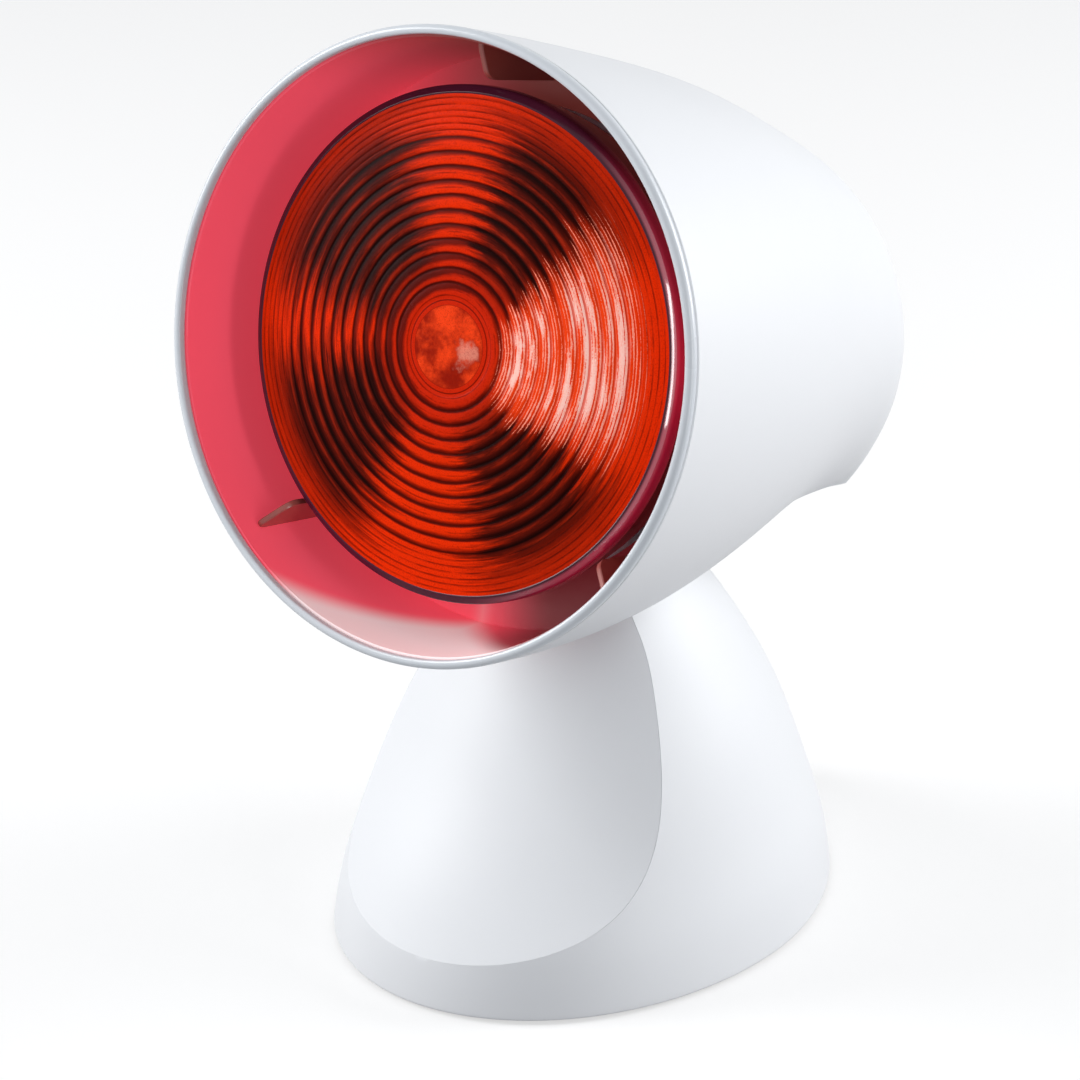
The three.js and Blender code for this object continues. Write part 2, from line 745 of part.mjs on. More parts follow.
function terminalBlock() {
  const bottom = ballastTop + gap;
  const body = block(
    [terminalX - terminalHalfWidth, terminalX + terminalHalfWidth],
    [terminalY - terminalHalfDepth + gap, terminalY + terminalHalfDepth - gap],
    [bottom, bottom + terminalHeight],
  );
  const holes = [-1, 1].map((side) => (
    rod('z', terminalScrewHole, bottom + terminalHeight / 2, farAway, [terminalX, terminalY + side * terminalScrewSpread])
  ));
  return cutBy(body, ...holes);
}

// Head forms, along the head's own axis: Y is the distance behind the rim, Z is up from the axis

const fullness = new THREE.SplineCurve(fullnessShares.map((share, i) => (
  new THREE.Vector2(i / (fullnessShares.length - 1), share)
)));
const spine = new THREE.SplineCurve(spineShares.map((share, i) => (
  new THREE.Vector2(i / (spineShares.length - 1), share)
)));

// One section of the head: how far behind the rim, its radius and how far its centre is off the axis
function headSection(progress) {
  const turn = (progress * Math.PI) / 2;
  return {
    station: headLength * Math.sin(turn),
    radius: headRadius * Math.cos(turn) * fullness.getPoint(progress).y,
    centre: headRadius * spine.getPoint(progress).y,
  };
}

// Height of the shell's inner face at a station, some way out to the side
function shellFloor(station, across) {
  const progress = (Math.asin(station / headLength) * 2) / Math.PI;
  const { radius, centre } = headSection(progress);
  return centre - Math.sqrt((radius - shellWall) ** 2 - across ** 2);
}

// The head's form with its radius scaled and its tail drawn in, run past the rim by the overrun
function headForm(scale, tailInset, start = -overrun) {
  const sections = [];
  for (let i = 0; i <= headLevels; i += 1) sections.push(headSection(i / headLevels));
  const lengthScale = (headLength - tailInset) / headLength;
  const rings = sections.map(({ station, radius, centre }) => ({
    station: station * lengthScale,
    radius: Math.max(radius, 0) * scale,
    centre,
  }));
  rings[rings.length - 1].radius = 0;
  const front = { station: start, radius: rings[0].radius, centre: 0 };
  const all = start < 0 ? [{ ...front, radius: 0 }, front, ...rings] : [{ ...front, radius: 0 }, ...rings];
  const geometry = turnedY(all.map(({ station, radius }) => [radius, station]), scale < 1 ? innerSides : fineSides);
  const places = geometry.attributes.position;
  for (let i = 0; i < places.count; i += 1) {
    places.setZ(i, places.getZ(i) + all[i % all.length].centre);
  }
  return solid(geometry);
}

function slabY(start, end) {
  return block([-farAway, farAway], [start, end], [-farAway, farAway]);
}

// Moves a geometry drawn upright about the hinge into the head's own frame
function fromUpright(geometry) {
  return geometry.rotateX(tiltRadians).translate(0, hingeStation, -hingeDrop);
}

function mouthCutter() {
  const shape = new THREE.Shape();
  shape.moveTo(-mouthHalfWidth, -mouthAhead);
  shape.lineTo(mouthHalfWidth, -mouthAhead);
  shape.lineTo(mouthHalfWidth, mouthBehind - mouthCorner);
  shape.quadraticCurveTo(mouthHalfWidth, mouthBehind, mouthHalfWidth - mouthCorner, mouthBehind);
  shape.lineTo(-mouthHalfWidth + mouthCorner, mouthBehind);
  shape.quadraticCurveTo(-mouthHalfWidth, mouthBehind, -mouthHalfWidth, mouthBehind - mouthCorner);
  shape.closePath();
  return solid(fromUpright(carriedZ(shape, -mouthBelow, mouthAbove, smallSides / 3)));
}

const tabPlaces = [
  ['front_left', -1, -tabFrontAhead],
  ['front_right', 1, -tabFrontAhead],
  ['rear_left', -1, tabRearBehind],
  ['rear_right', 1, tabRearBehind],
].map(([name, side, along]) => ({ name, side, station: hingeStation + along }));
const tabBottom = shellFloor(hingeStation + tabRearBehind + tabHalfLength, earEnd + tabReach) + tabFromShell;
const plateBottom = shellFloor(hingeStation + plateRearBehind, earEnd) + plateFromShell;

function headShell() {
  const outside = headForm(1, 0, -overrun);
  const inner = (headRadius - ringWidth) / headRadius;
  const inside = headForm(inner, shellWall, -2 * overrun);
  const skin = cutBy(outside, inside).intersect(slabY(ringDepth + gap, farAway + headLength));
  const bosses = tabPlaces.map(({ side, station }) => (
    rod('z', bossRadius, -headRadius, tabBottom - gap, [side * (earEnd + tabHoleIn), station])
  )).map((post) => post.intersect(headForm((1 + inner) / 2, shellWall / 2)));
  const pilots = tabPlaces.map(({ side, station }) => rod(
    'z',
    screwShank + gap,
    tabBottom + tabThickness - frameScrewLength - gap,
    0,
    [side * (earEnd + tabHoleIn), station],
  ));
  return cutBy(joined(skin, ...bosses), mouthCutter(), ...pilots);
}

function frontRing() {
  const inner = headRadius - ringWidth;
  return solid(turnedY([
    [inner, 0],
    [headRadius - ringEdgeRound, 0],
    [headRadius, ringEdgeRound],
    [headRadius, ringDepth],
    [inner, ringDepth],
    [inner, 0],
  ], fineSides));
}

function innerShade() {
  const range = slabY(shadeFront, shadeLength);
  const outer = headForm(shadeScale, shellWall);
  const innerScale = shadeScale - shadeWall / headRadius;
  const liner = cutBy(outer, headForm(innerScale, shellWall, -2 * overrun));
  const ribs = ribAnglesDeg.map((angle) => {
    const outline = new THREE.Shape();
    outline.moveTo(ribFront, ribInnerRadius + ribCorner);
    outline.quadraticCurveTo(ribFront, ribInnerRadius, ribFront + ribCorner, ribInnerRadius);
    outline.lineTo(shadeLength, ribInnerRadius);
    outline.lineTo(shadeLength, headRadius);
    outline.lineTo(ribFront, headRadius);
    outline.closePath();
    const geometry = new THREE.ExtrudeGeometry(outline, {
      depth: ribThickness,
      bevelEnabled: false,
      curveSegments: smallSides / 4,
    });
    geometry.translate(0, 0, -ribThickness / 2);
    const axes = new THREE.Matrix4().makeBasis(
      new THREE.Vector3(0, 1, 0),
      new THREE.Vector3(0, 0, 1),
      new THREE.Vector3(1, 0, 0),
    );
    geometry.applyMatrix4(axes).rotateY(THREE.MathUtils.degToRad(90 - angle));
    return solid(geometry).intersect(headForm(shadeScale - shadeWall / headRadius / 2, shellWall));
  });
  return joined(liner, ...ribs).intersect(range);
}

// Bulb pieces, turned about the head's axis

function lensFront(radius) {
  return lensSetback - lensCrown * (1 - (radius / lensRadius) ** 2);
}

function bulbLens() {
  const steps = 3;
  const front = [];
  const back = [];
  for (let i = 0; i <= steps; i += 1) {
    const radius = (lensRadius * i) / steps;
    front.push([radius, lensFront(radius)]);
    back.push([radius * ((lensRadius - lensGlass) / lensRadius), lensFront(radius) + lensGlass]);
  }
  const rim = [
    [(lensRadius + bulbRadius) / 2, lensSetback + lensGlass / 4],
    [bulbRadius, lensSetback + lensGlass],
    [bulbRadius, glassSeam],
    [lensRadius - lensGlass, glassSeam],
  ];
  return solid(turnedY([...front, ...rim, ...back.reverse()], innerSides));
}

function bulbBody() {
  const start = glassSeam + gap;
  const length = capStart - gap - start;
  const outer = reflectorLengthShares.map((share, i) => [reflectorRadiusShares[i] * bulbRadius, start + share * length]);
  const inner = outer.map(([radius, station]) => [radius - reflectorGlass, station]).reverse();
  inner[0][1] -= reflectorGlass;
  const end = start + length;
  const profile = [...outer, [stemRadius + gap, end], [stemRadius + gap, end - reflectorGlass], ...inner, outer[0]];
  return solid(turnedY(profile, midSides));
}

function bulbCap() {
  const threadStart = capStart + capSkirtDepth;
  const threadEnd = bulbEnd - insulatorHeight - contactHeight - 2 * gap;
  const pitch = (threadEnd - threadStart) / capTurns;
  const outer = [[capSkirtRadius, capStart], [capSkirtRadius, capStart + capSkirtDepth / 3], [capRadius - capThreadDepth, threadStart]];
  for (let i = 0; i < capTurns; i += 1) {
    outer.push([capRadius, threadStart + (i + 0.5) * pitch]);
    outer.push([capRadius - capThreadDepth, threadStart + (i + 1) * pitch]);
  }
  const inner = [
    [capRadius - capThreadDepth - capMetal, threadEnd],
    [capRadius - capThreadDepth - capMetal, threadStart],
    [capSkirtRadius - capMetal, capStart + capSkirtDepth / 3 - capMetal / 2],
    [capSkirtRadius - capMetal, capStart],
    [capSkirtRadius, capStart],
  ];
  return solid(turnedY([...outer, ...inner], midSides));
}

function bulbInsulator() {
  const start = bulbEnd - insulatorHeight - contactHeight - gap;
  return solid(turnedY([
    [0, start],
    [capRadius - capThreadDepth - capMetal, start],
    [contactRadius + gap, start + insulatorHeight],
    [0, start + insulatorHeight],
  ], midSides));
}

function bulbContact() {
  const start = bulbEnd - contactHeight;
  return solid(turnedY([[0, start], [contactRadius, start], [contactRadius / 2, bulbEnd], [0, bulbEnd]], smallSides));
}

// The glass stem with the two support wires and the filament between them
function bulbFilament() {
  const end = capStart - 2 * gap;
  const start = end - stemLength;
  const stem = solid(turnedY([[0, start], [stemRadius, start + stemRadius], [stemRadius, end], [0, end]], smallSides));
  const wire = lead([
    [-filamentSpan / 4, start + stemRadius, 0],
    [-filamentSpan / 2, start - filamentReach / 3, 0],
    [-filamentSpan / 2, start - filamentReach, 0],
    [0, start - filamentReach - filamentWire, 0],
    [filamentSpan / 2, start - filamentReach, 0],
    [filamentSpan / 2, start - filamentReach / 3, 0],
    [filamentSpan / 4, start + stemRadius, 0],
  ], filamentWire, 2 * smallSides);
  return joined(stem, wire);
}

function lampholder() {
  const bore = capRadius + gap + sleeveWall + gap;
  const body = turnedY([
    [bore, holderFront],
    [holderRadius - holderWall / 4, holderFront],
    [holderRadius, holderFront + holderWall / 2],
    [holderRadius, holderRear],
    [0, holderRear],
    [0, holderRear - holderWall],
    [bore, holderRear - holderWall],
    [bore, holderFront],
  ], midSides);
  const skirtRoom = rod('y', capSkirtRadius + gap, 0, capStart + capSkirtDepth + gap, [0, 0], midSides);
  const screws = [-1, 1].map((side) => (
    rod('y', screwShank + gap, holderRear - holderWall + gap, holderRear + overrun, [side * holderScrewSpread, 0])
  ));
  return cutBy(solid(body), skirtRoom, ...screws);
}

function holderSleeve() {
  const end = holderRear - holderWall - tongueLength / 2;
  const inner = capRadius + gap;
  return solid(turnedY([
    [inner, end - sleeveLength],
    [inner + sleeveWall, end - sleeveLength],
    [inner + sleeveWall, end],
    [inner, end],
    [inner, end - sleeveLength],
  ], midSides));
}

// The sprung tongue that meets the bulb's end contact
function holderContact() {
  const back = holderRear - holderWall - gap - tongueThickness / 2;
  const front = bulbEnd + gap + tongueThickness / 2;
  return stripX([
    [back, -tongueLength],
    [back, -tongueLength / 2],
    [front, -contactRadius / 2],
    [front, contactRadius / 2],
  ], tongueThickness, tongueHalfWidth);
}

function holderBracket() {
  const bottom = bridgeTop + gap;
  const rear = holderRear + gap + bracketThickness;
  const foot = block([-bracketHalfWidth, bracketHalfWidth], [bridgeFront, rear], [bottom, bottom + bracketThickness]);
  const back = block([-bracketHalfWidth, bracketHalfWidth], [holderRear + gap, rear], [bottom, bracketUp]);
  const slot = block(
    [-leafHalfWidth - 2 * gap, leafHalfWidth + 2 * gap],
    [0, bridgeRear + bracketThickness],
    [-farAway, farAway],
  );
  const footHoles = [-1, 1].map((side) => (
    rod('z', screwShank + gap, -farAway, 0, [side * bracketScrewSpread, (bridgeFront + bridgeRear) / 2])
  ));
  const backHoles = [-1, 1].map((side) => (
    rod('y', screwShank + gap, holderRear, farAway + holderRear, [side * holderScrewSpread, 0])
  ));
  const leadHole = rod('y', leadRadius + 2 * gap, holderRear, farAway + holderRear, [0, -holderLeadDrop]);
  return cutBy(joined(foot, back), slot, leadHole, ...footHoles, ...backHoles);
}

function headFrame() {
  const sidePlates = [-1, 1].map((side) => {
    const [start, end] = [side * earStart, side * earEnd].sort((a, b) => a - b);
    const outline = polygon([
      [hingeStation - plateFrontAhead, plateBottom],
      [hingeStation + plateRearBehind, plateBottom],
      [hingeStation + plateRearBehind, -hingeDrop + plateAboveHinge],
      [hingeStation - plateFrontAhead, -hingeDrop + plateAboveHinge],
    ]);
    const ear = rod('x', earRadius, start, end, [hingeStation, -hingeDrop], midSides);
    return joined(carriedX(outline, start, end), ear);
  });
  const tabs = tabPlaces.map(({ side, station }) => {
    const [start, end] = [side * earStart, side * (earEnd + tabReach)].sort((a, b) => a - b);
    return block([start, end], [station - tabHalfLength, station + tabHalfLength], [tabBottom, tabBottom + tabThickness]);
  });
  const bridge = block([-earEnd, earEnd], [bridgeFront, bridgeRear], [bridgeTop - bridgeHeight, bridgeTop]);
  const bore = rod('x', pinRadius + gap, -farAway, farAway, [hingeStation, -hingeDrop], midSides);
  const tabHoles = tabPlaces.map(({ side, station }) => (
    rod('z', screwShank + gap, -farAway, farAway, [side * (earEnd + tabHoleIn), station])
  ));
  const bridgeHoles = [-1, 0, 1].map((side) => rod(
    'z',
    screwShank + gap,
    bridgeTop - screwLength + bracketThickness,
    farAway,
    [side * bracketScrewSpread, (bridgeFront + bridgeRear) / 2],
  ));
  return cutBy(joined(...sidePlates, ...tabs, bridge), bore, ...tabHoles, ...bridgeHoles);
}

// The leaf spring on the bridge whose folded nose clicks into the dome's grooves
function clickSpring() {
  const turn = THREE.MathUtils.degToRad(clickAngleDeg);
  const reach = domeRadius + gap + leafThickness;
  const nose = [hingeStation + reach * Math.cos(turn), -hingeDrop + reach * Math.sin(turn)];
  const seat = bridgeTop + gap + leafThickness / 2;
  const leaf = stripX([
    [bridgeRear, seat],
    [bridgeFront, seat],
    [nose[0] + 2 * grooveRadius, nose[1] + 2 * grooveRadius],
    nose,
    [nose[0] - 2 * grooveRadius, nose[1] + 3 * grooveRadius],
  ], leafThickness, leafHalfWidth);
  const hole = rod('z', screwShank + gap, -farAway, farAway, [0, (bridgeFront + bridgeRear) / 2]);
  return cutBy(leaf, hole);
}

// Leads

const hingeLine = [hingeBack, hingeHeight];

function baseLead() {
  const x = (wireSlotStart + wireSlotEnd) / 2;
  const [y, z] = hingeLine;
  const top = ballastTop + 2 * gap + terminalHeight;
  return lead([
    [terminalX, terminalY - terminalScrewSpread, top - terminalHeight / 3],
    [terminalX, terminalY - terminalScrewSpread, top + 3 * leadRadius],
    [terminalX - leadRadius, terminalY - 3 * leadRadius - terminalScrewSpread, top + 10 * leadRadius],
    [x, y + 2 * leadRadius, z - 16 * leadRadius],
    [x, y, z - 6 * leadRadius],
    [x, y, z - 2 * leadRadius],
    [x + leadRadius, y, z - leadRadius / 3],
    [x + 3 * leadRadius, y, z],
    [earEnd + gap + nutThickness, y, z],
  ], leadRadius - gap, 3 * smallSides);
}

function headLead() {
  const start = earEnd + 2 * gap + nutThickness;
  const thin = leadRadius - gap;
  return lead([
    [start, hingeStation, -hingeDrop],
    [start + leadRadius, hingeStation, -hingeDrop],
    [start + 2 * leadRadius, hingeStation + leadRadius, -hingeDrop + 2 * leadRadius],
    [start + 2 * leadRadius, hingeStation + 6 * leadRadius, -hingeDrop + 8 * leadRadius],
    [start, bridgeRear, -hingeDrop + 9 * leadRadius],
    [bracketHalfWidth + 4 * leadRadius, holderRear - holderRadius / 2, -holderRadius - 3 * leadRadius],
    [bracketHalfWidth, holderRear + bracketThickness + 4 * leadRadius, -holderLeadDrop - 4 * leadRadius],
    [leadRadius, holderRear + bracketThickness + 4 * leadRadius, -holderLeadDrop],
    [0, holderRear + bracketThickness + leadRadius, -holderLeadDrop],
    [0, holderRear + gap, -holderLeadDrop],
  ], thin, 3 * smallSides);
}

// Assembly

const lamp = new THREE.Group();
const stand = new THREE.Group();
const hinge = new THREE.Group();
const head = new THREE.Group();
lamp.add(stand, hinge);
hinge.position.set(0, hingeBack, hingeHeight);
const tilted = new THREE.Group();
tilted.rotation.x = -tiltRadians;
head.position.set(0, -hingeStation, hingeDrop);
tilted.add(head);
hinge.add(tilted);

stand.add(
  piece('stand_shell', standShell(), paints.whiteGloss),
  piece('front_panel', frontPanel(), paints.whiteGloss),
  piece('base_plate', basePlate(), paints.innerPlastic),
  piece('ballast_plate', ballast(), paints.castIron),
  piece('neck_core', neckCore(), paints.innerPlastic),
  piece('cable_gland', cableGland(), paints.blackPlastic),
  piece('terminal_block', terminalBlock(), paints.ceramic),
  piece('base_lead', baseLead(), paints.leadSleeve),
);
fourCorners(footSpreadX, footSpreadY).forEach(([x, y], i) => {
  const foot = rod('z', footRadius, 0, floorClearance + footRecess, [x, y], midSides);
  stand.add(piece(`foot_${cornerNames[i]}`, foot, paints.rubber));
});
fourCorners(bossSpreadX, bossSpreadY).forEach(([x, y], i) => {
  const head_ = floorClearance + screwHeadHeight;
  stand.add(piece(`base_screw_${cornerNames[i]}`, screw([x, y, head_], [0, 0, 1]), paints.steel));
});
coreScrewPlaces.forEach(([x, y], i) => {
  const fastener = screw([x, y, coreFootTop + gap], [0, 0, -1]);
  stand.add(piece(`core_screw_${cornerNames[i]}`, fastener, paints.steel));
});

hinge.add(
  piece('hinge_pin', hingePin(), paints.steel),
  piece('hinge_nut', hingeNut(), paints.steel),
  piece('friction_washer_left', frictionWasher(-1), paints.rubber),
  piece('friction_washer_right', frictionWasher(1), paints.rubber),
);

const rockerMesh = piece('rocker', rocker(), paints.blackPlastic);
rockerMesh.rotation.x = -THREE.MathUtils.degToRad(rockerLeanDeg);
const switchPieces = new THREE.Group();
switchPieces.add(
  piece('switch_housing', switchHousing(), paints.blackPlastic),
  piece('switch_tab_lower', switchTab(-tabSpread), paints.brass),
  piece('switch_tab_upper', switchTab(tabSpread), paints.brass),
  rockerMesh,
);
stand.add(onSwitchPlane(switchPieces));

head.add(
  piece('head_shell', headShell(), paints.whiteGloss),
  piece('front_ring', frontRing(), paints.rimGrey),
  piece('inner_shade', innerShade(), paints.shadeRed),
  piece('bulb_lens', bulbLens(), paints.lensRed),
  piece('bulb_reflector', bulbBody(), paints.mirrorGlass),
  piece('bulb_cap', bulbCap(), paints.brass),
  piece('bulb_insulator', bulbInsulator(), paints.blackPlastic),
  piece('bulb_contact', bulbContact(), paints.steel),
  piece('bulb_filament', bulbFilament(), paints.steel),
  piece('lampholder', lampholder(), paints.ceramic),
  piece('holder_sleeve', holderSleeve(), paints.brass),
  piece('holder_contact', holderContact(), paints.brass),
  piece('holder_bracket', holderBracket(), paints.steel),
  piece('head_frame', headFrame(), paints.innerPlastic),
  piece('click_spring', clickSpring(), paints.steel),
  piece('head_lead', headLead(), paints.leadSleeve),
);
tabPlaces.forEach(({ name, side, station }) => {
  const place = [side * (earEnd + tabHoleIn), station, tabBottom + tabThickness + gap];
  head.add(piece(`frame_screw_${name}`, screw(place, [0, 0, -1], frameScrewLength), paints.steel));
});
[['left', -1], ['right', 1]].forEach(([name, side]) => {
  const footPlace = [side * bracketScrewSpread, (bridgeFront + bridgeRear) / 2, bridgeTop + 2 * gap + bracketThickness];
  const backPlace = [side * holderScrewSpread, holderRear + 2 * gap + bracketThickness, 0];
  head.add(
    piece(`bracket_screw_${name}`, screw(footPlace, [0, 0, -1]), paints.steel),
    piece(`holder_screw_${name}`, screw(backPlace, [0, -1, 0], holderWall + bracketThickness - gap), paints.steel),
  );
});
head.add(piece(
  'click_spring_screw',
  screw([0, (bridgeFront + bridgeRear) / 2, bridgeTop + 2 * gap + leafThickness], [0, 0, -1], frameScrewLength),
  paints.steel,
));

// The origin stands on the floor under the middle of the whole lamp
lamp.updateMatrixWorld(true);
const extent = new THREE.Box3().setFromObject(lamp, true);
lamp.position.y = -(extent.min.y + extent.max.y) / 2;

export default lamp;
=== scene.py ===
# %% [markdown]
# # An infrared heat therapy lamp, worked out as surfaces
#
# The lamp is a white bell of a head on an oval stand, with a ruby bulb in a liner painted crimson by its
# glow.
# The imported model gives every piece its place. This script gives the pieces that show their fine
# surfaces and finishes, and leaves the hidden ones as they are, with a finish each. Lengths are metres.

# %% Load the frame
import json
import math
from types import SimpleNamespace

import bmesh
import bpy
import numpy as np
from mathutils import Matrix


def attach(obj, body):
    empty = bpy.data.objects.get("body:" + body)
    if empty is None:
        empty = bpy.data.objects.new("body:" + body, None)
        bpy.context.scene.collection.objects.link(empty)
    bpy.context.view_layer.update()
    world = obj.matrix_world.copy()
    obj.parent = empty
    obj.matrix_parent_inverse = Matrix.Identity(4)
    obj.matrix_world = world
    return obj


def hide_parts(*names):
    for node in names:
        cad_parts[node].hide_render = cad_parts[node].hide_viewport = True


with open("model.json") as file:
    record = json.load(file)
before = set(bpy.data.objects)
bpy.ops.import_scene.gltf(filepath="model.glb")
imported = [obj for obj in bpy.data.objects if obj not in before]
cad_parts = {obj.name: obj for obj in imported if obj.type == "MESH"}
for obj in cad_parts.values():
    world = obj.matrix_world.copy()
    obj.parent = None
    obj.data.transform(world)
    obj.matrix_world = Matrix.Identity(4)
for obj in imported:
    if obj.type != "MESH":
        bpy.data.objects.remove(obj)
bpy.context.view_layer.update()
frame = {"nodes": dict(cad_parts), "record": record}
nodes = frame["nodes"]
print("pieces in the frame:", len(nodes))

# %% [markdown]
# ## The camera
#
# A photograph is matched from the camera outwards: if the lens and the viewpoint are wrong, no shape
# can be right. The viewpoint was solved from the oval of the rim and the outline of the stand, and it
# is set first so that every later look at the lamp is through it.

# %% Camera
target = np.array([-0.01445, -0.00599, 0.09702])
azimuth = math.radians(35.997)
elevation = math.radians(23.494)
camera_distance = 1.0
towards_camera = np.array([
    math.sin(azimuth) * math.cos(elevation),
    -math.cos(azimuth) * math.cos(elevation),
    math.sin(elevation),
])
camera_data = bpy.data.cameras.new("camera")
camera_data.lens = 130.0
camera_data.sensor_width = 36.0
camera = bpy.data.objects.new("camera", camera_data)
bpy.context.scene.collection.objects.link(camera)
camera.location = target + camera_distance * towards_camera
camera.rotation_euler = (math.pi / 2 - elevation, 0, azimuth)
bpy.context.scene.camera = camera
print("camera at", [round(v, 3) for v in camera.location])

# %% [markdown]
# ## A grid of points becomes a mesh
#
# Every new piece is a surface over a grid: a row for each station along the piece, a column for each
# step round it. Sculpting would do as well for one lamp, but whole arrays keep the shape a formula that
# can be changed. Points that share a number become one vertex, which closes seams and poles, and a quad
# with a repeated corner becomes a triangle. The sign of the volume turns the faces outwards.


# %% Meshes from grids
def shade_smooth(mesh, sharp):
    """Smooth faces, with a crease where neighbours meet at more than the sharp angle in degrees."""
    mesh.polygons.foreach_set("use_smooth", np.ones(len(mesh.polygons), dtype=bool))
    mesh.set_sharp_from_angle(angle=math.radians(sharp))


def link_piece(name, mesh):
    """An object for the mesh, at the origin."""
    piece = bpy.data.objects.new(name, mesh)
    bpy.context.scene.collection.objects.link(piece)
    return piece


def make_piece(name, points, quads, sharp=40.0):
    """A mesh object from points and quads: a corner equal to the one before it is dropped."""
    kept = quads != np.roll(quads, 1, axis=1)
    kept, quads = kept[kept.sum(axis=1) > 2], quads[kept.sum(axis=1) > 2]
    corners, sizes = quads[kept].astype(np.int32), kept.sum(axis=1)
    mesh = bpy.data.meshes.new(name)
    mesh.vertices.add(len(points))
    mesh.vertices.foreach_set("co", points.astype(np.float32).ravel())
    mesh.loops.add(len(corners))
    mesh.loops.foreach_set("vertex_index", corners)
    mesh.polygons.add(len(sizes))
    mesh.polygons.foreach_set("loop_start", (np.cumsum(sizes) - sizes).astype(np.int32))
    mesh.update(calc_edges=True)
    shade_smooth(mesh, sharp)
    return link_piece(name, mesh)


def numbered(rows):
    """A number for each point of a grid."""
    return np.arange(rows.shape[0] * rows.shape[1]).reshape(rows.shape[:2])


def grid_piece(name, rows, index, wrap=True, inside=(0, 0, 0), sharp=40.0):
    """Quads between neighbours of the grid, turned by their volume's sign about the inside point."""
    used, flat = np.unique(index, return_inverse=True)
    points, index = rows.reshape(-1, 3)[used], flat.reshape(index.shape)
    if wrap:
        index = np.hstack([index, index[:, :1]])
    quads = np.stack([index[:-1, :-1], index[:-1, 1:], index[1:, 1:], index[1:, :-1]], axis=-1).reshape(-1, 4)
    a, b, c, d = (points[quads[:, k]] - np.asarray(inside) for k in range(4))
    volume = np.einsum("ij,ij->i", a, np.cross(b, c) + np.cross(c, d)).sum()
    print(f"{name}: {len(points)} points, {len(quads)} faces")
    return make_piece(name, points, quads if volume > 0 else quads[:, ::-1], sharp)


def capped(name, rows, sharp=40.0):
    """A closed skin round an axis, whose first and last rows are one point each."""
    index = numbered(rows)
    index[0], index[-1] = index[0, 0], index[-1, 0]
    return grid_piece(name, rows, index, sharp=sharp)


def closed_ring(name, rows, sharp=40.0):
    """A ring whose last row of points lies on its first, so that the section closes on itself."""
    index = numbered(rows)
    index[-1] = index[0]
    return grid_piece(name, rows, index, sharp=sharp)


# %% [markdown]
# ## Walls and cuts
#
# A moulded shell has a wall and holes. Both are modifiers, because they follow any skin. They are
# applied at once, so that each piece ends as a plain mesh. A helper then ties the finished piece to the
# body it moves with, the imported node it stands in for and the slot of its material.


# %% Walls, cuts and places
def settle(piece):
    """Swaps the piece's mesh for the one its modifiers give."""
    bpy.context.view_layer.update()
    evaluated = piece.evaluated_get(bpy.context.evaluated_depsgraph_get())
    mesh = bpy.data.meshes.new_from_object(evaluated)
    piece.modifiers.clear()
    piece.data = mesh
    shade_smooth(mesh, 40.0)


def thicken(piece, wall):
    """Gives an open skin its wall, inwards from the outer face."""
    solidify = piece.modifiers.new("wall", "SOLIDIFY")
    solidify.thickness = wall
    solidify.offset = -1
    solidify.use_even_offset = True
    settle(piece)


def cut(piece, *cutters):
    """Takes the cutters' volumes out of the piece, and then deletes the cutters."""
    for cutter in cutters:
        boolean = piece.modifiers.new("cut", "BOOLEAN")
        boolean.operation = "DIFFERENCE"
        boolean.solver = "EXACT"
        boolean.object = cutter
    settle(piece)
    for cutter in cutters:
        bpy.data.objects.remove(cutter)


slot_of = {}


def assign(piece, body, node_name, slot):
    """The piece rides on a body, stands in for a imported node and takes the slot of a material."""
    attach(piece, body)
    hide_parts(node_name)
    slot_of[piece] = slot
    return piece


# %% [markdown]
# ## Smooth curves through measured values
#
# The head and the stand were fitted to the photo at a few stations. Reflections show every kink in a
# curve, so the values between come from a natural cubic spline, whose slope and curvature run on.


# %% Spline
def spline(x_known, y_known, x):
    """Natural cubic spline: second slopes solve a three-band system, then each span is a cubic."""
    x_known, y_known, x = (np.asarray(v, dtype=float) for v in (x_known, y_known, x))
    span, slope = np.diff(x_known), np.diff(y_known) / np.diff(x_known)
    size = len(x_known)
    matrix, right = np.eye(size), np.zeros(size)
    for i in range(1, size - 1):
        matrix[i, i - 1: i + 2] = span[i - 1], 2 * (span[i - 1] + span[i]), span[i]
        right[i] = 6 * (slope[i] - slope[i - 1])
    bend = np.linalg.solve(matrix, right)
    i = np.clip(np.searchsorted(x_known, x) - 1, 0, size - 2)
    left, after, h = x - x_known[i], x_known[i + 1] - x, span[i]
    return (
        bend[i] * after**3 / (6 * h) + bend[i + 1] * left**3 / (6 * h)
        + (y_known[i] / h - bend[i] * h / 6) * after + (y_known[i + 1] / h - bend[i + 1] * h / 6) * left
    )


# %% [markdown]
# ## The head's own frame
#
# The head is easiest to describe along its own axis: x across, s backwards from the rim and c up from
# the axis. It hangs on the hinge with the axis 14 degrees down, so one function carries points from the
# head's frame to the lamp's.

# %% Head frame
hinge = np.array([0.0, 0.002008, 0.106])
hinge_station, hinge_drop = 0.0898, 0.04681
tilt = math.radians(14.0)


def stacked(x, y, z):
    """Points from their three coordinates."""
    return np.stack(np.broadcast_arrays(x, y, z), axis=-1)


def turned(first, second, angle):
    """Each coordinate times the cosine, plus the second and less the first times the sine."""
    cosine, sine = math.cos(angle), math.sin(angle)
    return first * cosine + second * sine, second * cosine - first * sine


def from_head(x, s, c):
    """Points in the lamp's frame: s and c turn down by the tilt about the hinge's place in the head."""
    y, z = turned(s - hinge_station, c + hinge_drop, tilt)
    return stacked(x, hinge[1] + y, hinge[2] + z)


print("middle of the rim:", from_head(0.0, 0.0, 0.0).round(4))

# %% [markdown]
# ## The bell of the head
#
# The bell is a row of circles. Their radius follows a quarter of an ellipse times a fullness, and their
# centres sink towards the tail. One formula serves the outer face, the inner face and the liner.

